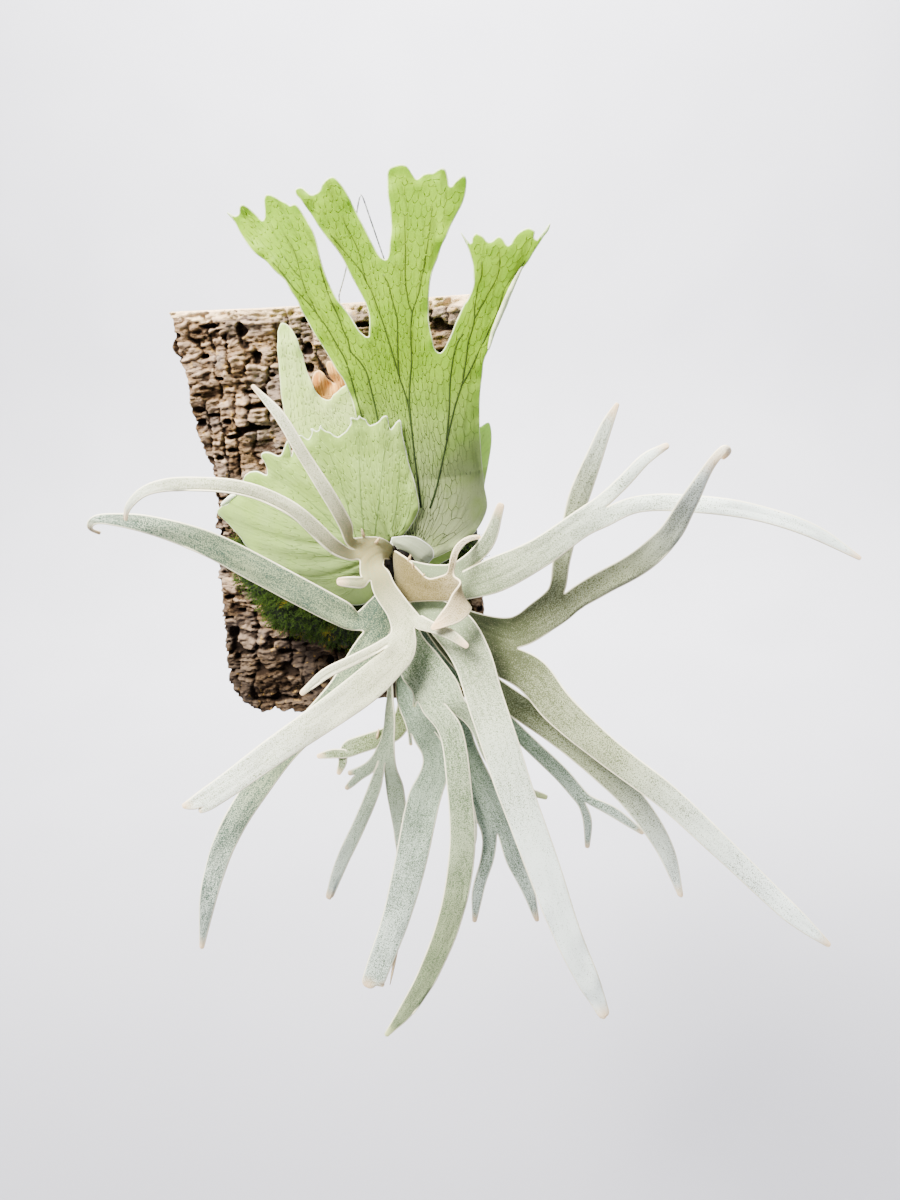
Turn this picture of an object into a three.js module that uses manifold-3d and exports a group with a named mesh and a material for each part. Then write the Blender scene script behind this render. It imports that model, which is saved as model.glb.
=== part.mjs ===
// A staghorn fern mounted on a slab of cork bark. Millimetres, +Z up.
// The origin is the middle of the board's flat back, which lies in the plane y = 0.
// The plant grows towards -Y, and +X is to the right as seen from the front.

import * as THREE from "three";
import { mergeVertices } from "three/addons/utils/BufferGeometryUtils.js";
import Module from "manifold-3d";

const wasm = await Module();
wasm.setup();

// ---- Driving dimensions -------------------------------------------------------------------

const CLEARANCE = 0.3; // between pieces that touch

// Board: a slab of cork bark, sawn square and worn along its left side.
const BOARD_THICKNESS = 26; // at the highest ridges of the bark
const BARK_RELIEF = 7; // from the ridges down to the crevices
const BARK_FLAT = 22; // thickness of the trimmed patch that the root ball sits on
const BOARD_COLUMNS = 24;
const BOARD_ROWS = 34;
// Side outlines are [x, z] from the top down, the lower outline is [x, z] from left to right.
const BOARD_LEFT = [
  [-101, 150], [-98, 139], [-102, 125], [-96, 110], [-96, 95], [-94, 65], [-87, 37], [-88, 21],
  [-91, -10], [-95, -49], [-95, -76], [-99, -110], [-97, -129], [-84, -152],
];
const BOARD_RIGHT = [
  [101, 150], [98, 120], [102, 90], [99, 60], [101, 13], [97, -20], [100, -66], [96, -100], [99, -130],
  [94, -152],
];
const BOARD_TOP = [[-101, 150], [-45, 149], [23, 149], [101, 150]];
const BOARD_BOTTOM = [
  [-84, -153], [-60, -147], [-43, -150], [2, -141], [22, -139], [50, -146], [75, -143], [94, -150],
];

// Hanger: one length of wire, whose ends stand in two holes in the board's top edge.
const WIRE_DIAMETER = 1;
const WIRE_HOLE_DIAMETER = 1.8;
const WIRE_DEPTH = -9; // how far the holes lie from the board's back
const WIRE_END = 138; // height of the wire's ends, inside the board
const WIRE_MOUTH = 150; // the wire is straight from its ends up to here, just above the board
const WIRE_BEND = 154;
const WIRE_APEX = 216;
const WIRE_LEFT = 13;
const WIRE_RIGHT = 53;
const WIRE_STEPS = 44;

// Root ball: a mound of moss on the board, a half ellipsoid.
const MOSS_CENTRE = [12, -21];
const MOSS_RADII = [92, 72];
const MOSS_DEPTH = 50;
const MOSS_FULLNESS = 2.6; // 2 is an ellipsoid, and more stands up steeper at the rim
const MOSS_TUFT = 2.2;
const MOSS_RINGS = [1, 0.96, 0.88, 0.77, 0.63, 0.46, 0.26];
const MOSS_SPOKES = 40;

// Rhizome: the short upright stem that every frond grows from.
const RHIZOME_CENTRE = [50, -80, -24];
const RHIZOME_RADII = [17, 20, 33];
const SCALE_HEIGHT = 0.9;

// Shield fronds lie over the root ball in layers, on a dome that runs on upwards above it.
const DOME_CENTRE = [15, -12];
const DOME_RADII = [97, 74];
const DOME_BASE = 24;
const DOME_DEPTH = 52;
const DOME_WIDENING = 0.9; // how fast the dome grows wider above WIDENING_START
const WIDENING_START = 40;
const DOME_LEAN = 0.06; // how far the upper shields lean forward, per mm of height
const LEAN_START = 60; // the height at which they start to lean
const SHIELD_THICKNESS = 1.2;
const BROWN_LAYER = 1.5; // each layer's distance in front of the dome
const RIGHT_LAYER = 1.5;
const FINGER_LAYER = 4.5;
const TALL_LAYER = 7.5;
const ROUND_LAYER = 10.5;
const BUD_LAYER = 16;

// Fertile fronds: forked straps.
const FROND_THICKNESS = 1.4;
const FROND_CROWN = 0.07; // height of the arch across a strap, as a share of its width
const FORK_BOW = 0.12; // how far the middle of a fork's row runs ahead, as a share of its width
const ROW_LENGTH = 17; // longest stretch between two rows along a strap
const FACE = new THREE.Vector3(0, -0.94, 0.34); // the way the straps' upper faces look

// ---- Small helpers ------------------------------------------------------------------------

const mix = (a, b, t) => a + (b - a) * t;

function smoothstep(low, high, value) {
  const t = Math.min(Math.max((value - low) / (high - low), 0), 1);
  return t * t * (3 - 2 * t);
}

// The second coordinate of a polyline where its first is `at`; the points run either way.
function along(points, at, key, value) {
  const rising = points[points.length - 1][key] > points[0][key];
  const ordered = rising ? points : [...points].reverse();
  const next = ordered.findIndex((point) => point[key] >= at);
  if (next === 0) return ordered[0][value];
  if (next < 0) return ordered[ordered.length - 1][value];
  const [low, high] = [ordered[next - 1], ordered[next]];
  return mix(low[value], high[value], (at - low[key]) / (high[key] - low[key]));
}

function geometryFrom(positions, triangles) {
  const geometry = new THREE.BufferGeometry();
  geometry.setAttribute("position", new THREE.Float32BufferAttribute(positions, 3));
  geometry.setIndex(triangles);
  return geometry;
}

function solidFrom(source) {
  const geometry = source.clone();
  geometry.deleteAttribute("normal");
  geometry.deleteAttribute("uv");
  const merged = mergeVertices(geometry, 1e-4);
  const vertProperties = new Float32Array(merged.attributes.position.array);
  const triVerts = new Uint32Array(merged.index.array);
  return new wasm.Manifold(new wasm.Mesh({ numProp: 3, vertProperties, triVerts }));
}

function geometryOf(solid) {
  const mesh = solid.getMesh();
  return geometryFrom(Array.from(mesh.vertProperties), Array.from(mesh.triVerts));
}

// What is left of a geometry outside some cutters: the largest piece of it.
function cutGeometry(geometry, cutters) {
  let solid = solidFrom(geometry);
  for (const cutter of cutters) {
    solid = solid.subtract(cutter);
  }
  const pieces = solid.decompose();
  pieces.sort((a, b) => b.volume() - a.volume());
  return geometryOf(pieces[0]);
}

function named(name, geometry, colour, roughness) {
  const material = new THREE.MeshStandardMaterial({ color: colour, roughness, metalness: 0 });
  const mesh = new THREE.Mesh(geometry, material);
  mesh.name = name;
  return mesh;
}

// ---- Board --------------------------------------------------------------------------------

// Bark stands in rough blocks: upright fissures cross wavy layers.
function barkHeight(x, z) {
  const fissures = Math.sin(0.17 * x + 1.6 * Math.sin(0.045 * z + 0.6));
  const layers = Math.sin(0.19 * z + 1.4 * Math.sin(0.06 * x + 1.1));
  const lumps = Math.sin(0.09 * x - 0.11 * z + 2.0);
  return 0.5 + 0.2 * fissures + 0.18 * layers + 0.12 * lumps;
}

function boardFront(x, z) {
  const bark = BOARD_THICKNESS - BARK_RELIEF * (1 - barkHeight(x, z));
  const across = (x - MOSS_CENTRE[0]) / MOSS_RADII[0];
  const up = (z - MOSS_CENTRE[1]) / MOSS_RADII[1];
  const outside = smoothstep(1.13, 1.3, Math.hypot(across, up));
  return -mix(BARK_FLAT, bark, outside);
}

function boardPoint(column, row) {
  const u = column / BOARD_COLUMNS;
  const v = row / BOARD_ROWS;
  const bottom = along(BOARD_BOTTOM, mix(BOARD_BOTTOM[0][0], BOARD_BOTTOM.at(-1)[0], u), 0, 1);
  const top = along(BOARD_TOP, mix(BOARD_TOP[0][0], BOARD_TOP.at(-1)[0], u), 0, 1);
  const z = mix(bottom, top, v);
  const x = mix(along(BOARD_LEFT, z, 1, 0), along(BOARD_RIGHT, z, 1, 0), u);
  return [x, z];
}

function boardGeometry() {
  const positions = [];
  const triangles = [];
  const width = BOARD_COLUMNS + 1;
  const front = (column, row) => row * width + column;
  for (let row = 0; row <= BOARD_ROWS; row += 1) {
    for (let column = 0; column <= BOARD_COLUMNS; column += 1) {
      const [x, z] = boardPoint(column, row);
      positions.push(x, boardFront(x, z), z);
    }
  }
  for (let row = 0; row < BOARD_ROWS; row += 1) {
    for (let column = 0; column < BOARD_COLUMNS; column += 1) {
      const [a, b] = [front(column, row), front(column + 1, row)];
      const [c, d] = [front(column + 1, row + 1), front(column, row + 1)];
      triangles.push(a, b, c, a, c, d);
    }
  }
  const rim = [];
  for (let column = 0; column < BOARD_COLUMNS; column += 1) rim.push(front(column, 0));
  for (let row = 0; row < BOARD_ROWS; row += 1) rim.push(front(BOARD_COLUMNS, row));
  for (let column = BOARD_COLUMNS; column > 0; column -= 1) rim.push(front(column, BOARD_ROWS));
  for (let row = BOARD_ROWS; row > 0; row -= 1) rim.push(front(0, row));
  const firstBack = positions.length / 3;
  const contour = [];
  for (const index of rim) {
    const [x, z] = [positions[3 * index], positions[3 * index + 2]];
    positions.push(x, 0, z);
    contour.push(new THREE.Vector2(x, z));
  }
  for (let i = 0; i < rim.length; i += 1) {
    const next = (i + 1) % rim.length;
    triangles.push(rim[next], rim[i], firstBack + i, rim[next], firstBack + i, firstBack + next);
  }
  for (const [a, b, c] of THREE.ShapeUtils.triangulateShape(contour, [])) {
    triangles.push(firstBack + a, firstBack + c, firstBack + b);
  }
  return geometryFrom(positions, triangles);
}

function wireHole(x) {
  const height = 30;
  const hole = new THREE.CylinderGeometry(WIRE_HOLE_DIAMETER / 2, WIRE_HOLE_DIAMETER / 2, height, 8);
  hole.rotateX(Math.PI / 2);
  hole.translate(x, WIRE_DEPTH, WIRE_END - CLEARANCE + height / 2);
  return solidFrom(hole);
}

// ---- Hanger wire --------------------------------------------------------------------------

const WIRE_ROUTE = [
  [WIRE_LEFT, WIRE_DEPTH, WIRE_END],
  [WIRE_LEFT, WIRE_DEPTH, WIRE_MOUTH],
  [WIRE_LEFT, WIRE_DEPTH, WIRE_BEND],
  [19, -8, 170],
  [27, -6, 197],
  [31.6, -5, 213],
  [33, -5, WIRE_APEX],
  [34.4, -5, 213],
  [39, -6, 197],
  [47, -8, 170],
  [WIRE_RIGHT, WIRE_DEPTH, WIRE_BEND],
  [WIRE_RIGHT, WIRE_DEPTH, WIRE_MOUTH],
  [WIRE_RIGHT, WIRE_DEPTH, WIRE_END],
];

function wireGeometry() {
  const section = new THREE.Shape();
  const sides = 8;
  for (let i = 0; i < sides; i += 1) {
    const angle = (2 * Math.PI * i) / sides;
    const [u, v] = [(Math.cos(angle) * WIRE_DIAMETER) / 2, (Math.sin(angle) * WIRE_DIAMETER) / 2];
    if (i === 0) section.moveTo(u, v);
    else section.lineTo(u, v);
  }
  const extrudePath = new THREE.CatmullRomCurve3(WIRE_ROUTE.map((point) => new THREE.Vector3(...point)));
  return new THREE.ExtrudeGeometry(section, { steps: WIRE_STEPS, extrudePath, bevelEnabled: false });
}

// ---- Root ball and rhizome ----------------------------------------------------------------

function mossGeometry() {
  const back = -BARK_FLAT - CLEARANCE;
  const positions = [];
  const triangles = [];
  for (const ring of MOSS_RINGS) {
    for (let spoke = 0; spoke < MOSS_SPOKES; spoke += 1) {
      const angle = (2 * Math.PI * spoke) / MOSS_SPOKES;
      const tuft = Math.sin(7 * angle + 9 * ring) * Math.cos(5 * angle - 14 * ring);
      const reach = ring * (1 - 0.025 * (1 + Math.sin(9 * angle + 1)));
      const height = MOSS_DEPTH * Math.sqrt(1 - ring ** MOSS_FULLNESS) - (MOSS_TUFT * (1 + tuft)) / 2;
      const depth = ring === 1 ? 0 : height;
      const x = MOSS_CENTRE[0] + MOSS_RADII[0] * reach * Math.cos(angle);
      const z = MOSS_CENTRE[1] + MOSS_RADII[1] * reach * Math.sin(angle);
      positions.push(x, back - depth, z);
    }
  }
  const rings = MOSS_RINGS.length;
  const at = (ring, spoke) => ring * MOSS_SPOKES + (spoke % MOSS_SPOKES);
  const crest = rings * MOSS_SPOKES;
  const backMiddle = crest + 1;
  positions.push(MOSS_CENTRE[0], back - MOSS_DEPTH, MOSS_CENTRE[1]);
  positions.push(MOSS_CENTRE[0], back, MOSS_CENTRE[1]);
  for (let spoke = 0; spoke < MOSS_SPOKES; spoke += 1) {
    for (let ring = 0; ring + 1 < rings; ring += 1) {
      const [a, b] = [at(ring, spoke), at(ring, spoke + 1)];
      const [c, d] = [at(ring + 1, spoke + 1), at(ring + 1, spoke)];
      triangles.push(a, b, c, a, c, d);
    }
    triangles.push(at(rings - 1, spoke), at(rings - 1, spoke + 1), crest);
    triangles.push(at(0, spoke + 1), at(0, spoke), backMiddle);
  }
  return geometryFrom(positions, triangles);
}

// The rhizome is covered in narrow scales; `grow` enlarges it on all sides.
function rhizomeGeometry(grow) {
  const ball = new THREE.SphereGeometry(1, 22, 16);
  ball.rotateX(Math.PI / 2);
  const place = ball.attributes.position;
  for (let i = 0; i < place.count; i += 1) {
    const [x, y, z] = [place.getX(i), place.getY(i), place.getZ(i)];
    const around = Math.atan2(y, x);
    const scales = SCALE_HEIGHT * Math.sin(5 * around) * Math.cos(9 * z) * (1 - z * z);
    const radii = RHIZOME_RADII.map((radius) => radius + grow + scales);
    place.setXYZ(
      i,
      RHIZOME_CENTRE[0] + radii[0] * x,
      RHIZOME_CENTRE[1] + radii[1] * y,
      RHIZOME_CENTRE[2] + radii[2] * z,
    );
  }
  return ball;
}

// ---- Blades -------------------------------------------------------------------------------
// A blade is a sheet of quads: `points` of its middle surface and `quads` of their indices.

// Gives a sheet its thickness: both faces keep the same diagonals, and a wall closes the edge.
function thicken(sheet, thickness) {
  const faces = [];
  for (const [a, b, c, d] of sheet.quads) {
    faces.push([a, b, c], [a, c, d]);
  }
  const normals = sheet.points.map(() => new THREE.Vector3());
  const edges = new Map();
  for (const face of faces) {
    const [a, b, c] = face.map((index) => sheet.points[index]);
    const normal = b.clone().sub(a).cross(c.clone().sub(a));
    face.forEach((index, i) => {
      normals[index].add(normal);
      edges.set(`${index},${face[(i + 1) % 3]}`, [index, face[(i + 1) % 3]]);
    });
  }
  const count = sheet.points.length;
  const positions = [];
  for (const way of [1, -1]) {
    sheet.points.forEach((point, i) => {
      const offset = normals[i].clone().normalize().multiplyScalar((way * thickness) / 2);
      positions.push(...point.clone().add(offset).toArray());
    });
  }
  const triangles = [];
  for (const [a, b, c] of faces) {
    triangles.push(a, b, c, a + count, c + count, b + count);
  }
  for (const [a, b] of edges.values()) {
    if (edges.has(`${b},${a}`)) continue;
    triangles.push(b, a, a + count, b, a + count, b + count);
  }
  return geometryFrom(positions, triangles);
}

function columnsOf(blade) {
  if (!blade.arms) return blade.columns ?? 2;
  return blade.arms.reduce((sum, arm) => sum + columnsOf(arm), 0);
}

// Places of a row's points across the blade, from 0 to 1; they follow the arms' widths.
function sharesOf(blade) {
  if (!blade.arms) {
    const columns = columnsOf(blade);
    return Array.from({ length: columns + 1 }, (_, i) => i / columns);
  }
  const widths = blade.arms.map((arm) => arm.rows[0][3]);
  const total = widths.reduce((sum, width) => sum + width, 0);
  const shares = [0];
  let start = 0;
  blade.arms.forEach((arm, i) => {
    for (const share of sharesOf(arm).slice(1)) {
      shares.push(start + (share * widths[i]) / total);
    }
    start += widths[i] / total;
  });
  return shares;
}

function hermite(p0, p1, m0, m1, t) {
  const [t2, t3] = [t * t, t * t * t];
  return p0.clone().multiplyScalar(2 * t3 - 3 * t2 + 1)
    .addScaledVector(m0, t3 - 2 * t2 + t)
    .addScaledVector(p1, 3 * t2 - 2 * t3)
    .addScaledVector(m1, t3 - t2);
}

// The direction across a blade. `rowSide` holds it still where a blade folds over.
function sideAt(direction, rowSide, roll) {
  const side = new THREE.Vector3();
  if (rowSide) side.copy(rowSide).addScaledVector(direction, -direction.dot(rowSide));
  else side.crossVectors(direction, FACE);
  side.normalize();
  return side.applyAxisAngle(direction, THREE.MathUtils.degToRad(roll));
}

function rowDirections(rows, blade, start) {
  const firstPlaces = (blade.arms ?? []).map((arm) => new THREE.Vector3(...arm.rows[0].slice(0, 3)));
  const beyond = new THREE.Vector3();
  firstPlaces.forEach((place) => beyond.addScaledVector(place, 1 / firstPlaces.length));
  return rows.map((row, i) => {
    if (i === 0 && start) return rows[1].at.clone().sub(row.at).normalize().add(start.direction).normalize();
    if (i === rows.length - 1 && blade.heading) return new THREE.Vector3(...blade.heading).normalize();
    const before = rows[Math.max(i - 1, 0)].at;
    const last = blade.arms ? beyond : row.at;
    const after = i + 1 < rows.length ? rows[i + 1].at : last;
    return after.clone().sub(before).normalize();
  });
}

// Grows a blade and then its arms. `start` holds the row of points that an arm begins on.
function growBlade(sheet, blade, options, start) {
  const rows = blade.rows.map(([x, y, z, width, roll = 0]) => {
    return { at: new THREE.Vector3(x, y, z), width, roll };
  });
  const rowSide = blade.side ? new THREE.Vector3(...blade.side) : null;
  if (start) rows.unshift(start);
  const directions = rowDirections(rows, blade, start);
  const shares = sharesOf(blade);
  let last = start ? start.indices : null;
  const bow = blade.arms ? (blade.bow ?? FORK_BOW) : 0;
  const addRow = (at, direction, width, roll, ahead = 0) => {
    const side = sideAt(direction, rowSide, roll);
    const normal = side.clone().cross(direction);
    const indices = shares.map((share) => {
      const across = 2 * share - 1;
      const point = at.clone().addScaledVector(side, (across * width) / 2);
      const arch = width * (1 - across * across);
      point.addScaledVector(normal, options.crown * arch).addScaledVector(direction, ahead * arch);
      sheet.points.push(point);
      return sheet.points.length - 1;
    });
    if (last) {
      for (let i = 0; i + 1 < indices.length; i += 1) {
        sheet.quads.push([last[i], last[i + 1], indices[i + 1], indices[i]]);
      }
    }
    last = indices;
  };
  if (!start) addRow(rows[0].at, directions[0], rows[0].width, rows[0].roll);
  for (let i = 0; i + 1 < rows.length; i += 1) {
    const [from, to] = [rows[i], rows[i + 1]];
    const length = from.at.distanceTo(to.at);
    const steps = Math.max(1, Math.round(length / options.rowLength));
    const [m0, m1] = [directions[i], directions[i + 1]].map((way) => way.clone().multiplyScalar(length));
    for (let step = 1; step <= steps; step += 1) {
      const t = step / steps;
      const at = hermite(from.at, to.at, m0, m1, t);
      const direction = directions[i].clone().lerp(directions[i + 1], t).normalize();
      const ahead = i + 2 === rows.length ? bow * t * t : 0;
      addRow(at, direction, mix(from.width, to.width, t), mix(from.roll, to.roll, t), ahead);
    }
  }
  if (!blade.arms) return;
  const direction = directions[rows.length - 1];
  let first = 0;
  for (const arm of blade.arms) {
    const indices = last.slice(first, first + columnsOf(arm) + 1);
    const [left, right] = [sheet.points[indices[0]], sheet.points[indices.at(-1)]];
    const at = left.clone().add(right).multiplyScalar(0.5);
    const roll = rows[rows.length - 1].roll;
    growBlade(sheet, arm, options, { at, width: left.distanceTo(right), roll, direction, indices });
    first += columnsOf(arm);
  }
}

function frondGeometry(blade) {
  const sheet = { points: [], quads: [] };
  growBlade(sheet, blade, { crown: FROND_CROWN, rowLength: ROW_LENGTH });
  return thicken(sheet, FROND_THICKNESS);
}

// ---- Shield fronds ------------------------------------------------------------------------

function shieldDepth(x, z, layer) {
  const halfWidth = DOME_RADII[0] + DOME_WIDENING * Math.max(z - WIDENING_START, 0);
  const across = (x - DOME_CENTRE[0]) / halfWidth;
  const down = Math.min(z - DOME_CENTRE[1], 0) / DOME_RADII[1];
  const bulge = Math.sqrt(Math.max(1 - across * across - down * down, 0.04));
  const lean = DOME_LEAN * Math.max(z - LEAN_START, 0);
  return -(DOME_BASE + DOME_DEPTH * bulge + layer + lean);
}

// Rows of a shield are [x, z, width]: it is laid out flat and then bent onto its layer.
function flatRows(blade) {
  const rows = blade.rows.map(([x, z, width]) => [x, 0, z, width]);
  return { ...blade, rows, arms: blade.arms?.map(flatRows) };
}

function bendOntoLayer(sheet, layer) {
  for (const point of sheet.points) {
    point.y = shieldDepth(point.x, point.z, layer);
  }
}

function lobedShield(blade, layer) {
  const sheet = { points: [], quads: [] };
  growBlade(sheet, flatRows(blade), { crown: 0, rowLength: ROW_LENGTH });
  bendOntoLayer(sheet, layer);
  return thicken(sheet, SHIELD_THICKNESS);
}

// A shield that spreads from its base to a toothed margin, given as [x, z] points.
function fanShield(base, margin, layer, reaches) {
  const sheet = { points: [], quads: [] };
  for (const reach of reaches) {
    for (const [x, z] of margin) {
      sheet.points.push(new THREE.Vector3(mix(base[0], x, reach), 0, mix(base[1], z, reach)));
    }
  }
  const width = margin.length;
  for (let row = 0; row + 1 < reaches.length; row += 1) {
    for (let column = 0; column + 1 < width; column += 1) {
      const a = row * width + column;
      sheet.quads.push([a, a + width, a + width + 1, a + 1]);
    }
  }
  bendOntoLayer(sheet, layer);
  return thicken(sheet, SHIELD_THICKNESS);
}

const TALL_SHIELD = {
  rows: [
    [58, -13, 20], [77, 9, 55], [77, 36, 65], [73, 63, 68], [70, 79, 71], [67, 98, 80], [65, 121, 97],
  ],
  bow: 0,
  arms: [
    {
      rows: [[22, 142, 25], [14, 154, 26], [5, 172, 30], [-2, 186, 38], [-8, 198, 44]],
      heading: [-0.25, 0, 1],
      bow: 0,
      arms: [
        { rows: [[-22, 202, 13], [-29, 207, 5]] },
        { rows: [[0, 209, 19], [1, 214, 13]] },
      ],
    },
    {
      rows: [[62, 151, 40], [59, 170, 51]],
      bow: 0,
      arms: [
        {
          rows: [[38, 185, 23], [30, 200, 25], [26, 205, 27]],
          heading: [-0.25, 0, 1],
          bow: 0,
          arms: [
            { rows: [[17, 209, 11], [11, 213, 3]] },
            { rows: [[33, 211, 14], [31, 217, 4]] },
          ],
        },
        {
          rows: [[76, 183, 33], [82, 198, 41], [84, 208, 45]],
          bow: 0,
          arms: [
            { rows: [[71, 217, 14], [70, 222, 8]] },
            { rows: [[88, 214, 16], [89, 219, 11]] },
            { rows: [[104, 210, 9], [105, 214, 3]], columns: 1 },
          ],
        },
      ],
    },
    {
      rows: [[109, 137, 27], [117, 152, 24], [122, 167, 31], [126, 175, 41]],
      bow: 0,
      arms: [
        { rows: [[107, 180, 10], [103, 185, 4]], columns: 1 },
        { rows: [[123, 179, 12], [123, 182, 6]], columns: 1 },
        { rows: [[141, 179, 15], [148, 185, 9]] },
      ],
    },
  ],
};

const FINGER_SHIELD = {
  rows: [[53, -13, 20], [43, 22, 39], [24, 59, 64], [8, 82, 56]],
  heading: [-0.2, 0, 1],
  arms: [
    { rows: [[-5, 96, 18], [-7, 114, 17], [-9, 132, 10], [-9, 141, 4]], columns: 3 },
    { rows: [[21, 95, 21], [25, 101, 14]], columns: 3 },
  ],
};

const BROWN_SHIELD = {
  rows: [[53, -14, 16], [40, 28, 33], [24, 68, 38], [15, 91, 26]],
  arms: [
    { rows: [[8, 104, 9], [9, 112, 5]] },
    { rows: [[21, 107, 9], [22, 116, 6]] },
  ],
};

const BUD_SHIELD = { rows: [[47, 5, 4], [53, 3, 10], [60, -1, 15], [67, -8, 15]], columns: 4 };

const ROUND_BASE = [44, -2];
const ROUND_MARGIN = [
  [61, 16], [66, 31], [66, 43], [60, 63], [58, 79], [48, 82], [40, 77], [36, 83], [28, 82], [19, 73],
  [9, 79], [3, 76], [-1, 72], [-13, 66], [-19, 62], [-33, 62], [-31, 49], [-46, 49], [-50, 43],
  [-65, 32], [-75, 21], [-66, 8], [-54, -2], [-38, -12], [-31, -22], [-10, -35], [13, -42], [27, -40],
];
const ROUND_REACHES = [0.07, 0.3, 0.5, 0.7, 0.86, 1];

const RIGHT_BASE = [58, -4];
const RIGHT_MARGIN = [
  [65, -23], [77, -19], [90, -12], [99, 2], [104, 15], [107, 30], [110, 43], [113, 60], [111, 73],
  [100, 70], [86, 64],
];
const RIGHT_REACHES = [0.1, 0.4, 0.7, 1];

// ---- Fertile fronds -----------------------------------------------------------------------
// Rows are [x, y, z, width, roll]. Arms are listed from the left to the right of one who looks
// along the blade as it grows, with its upper face towards them.

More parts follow.
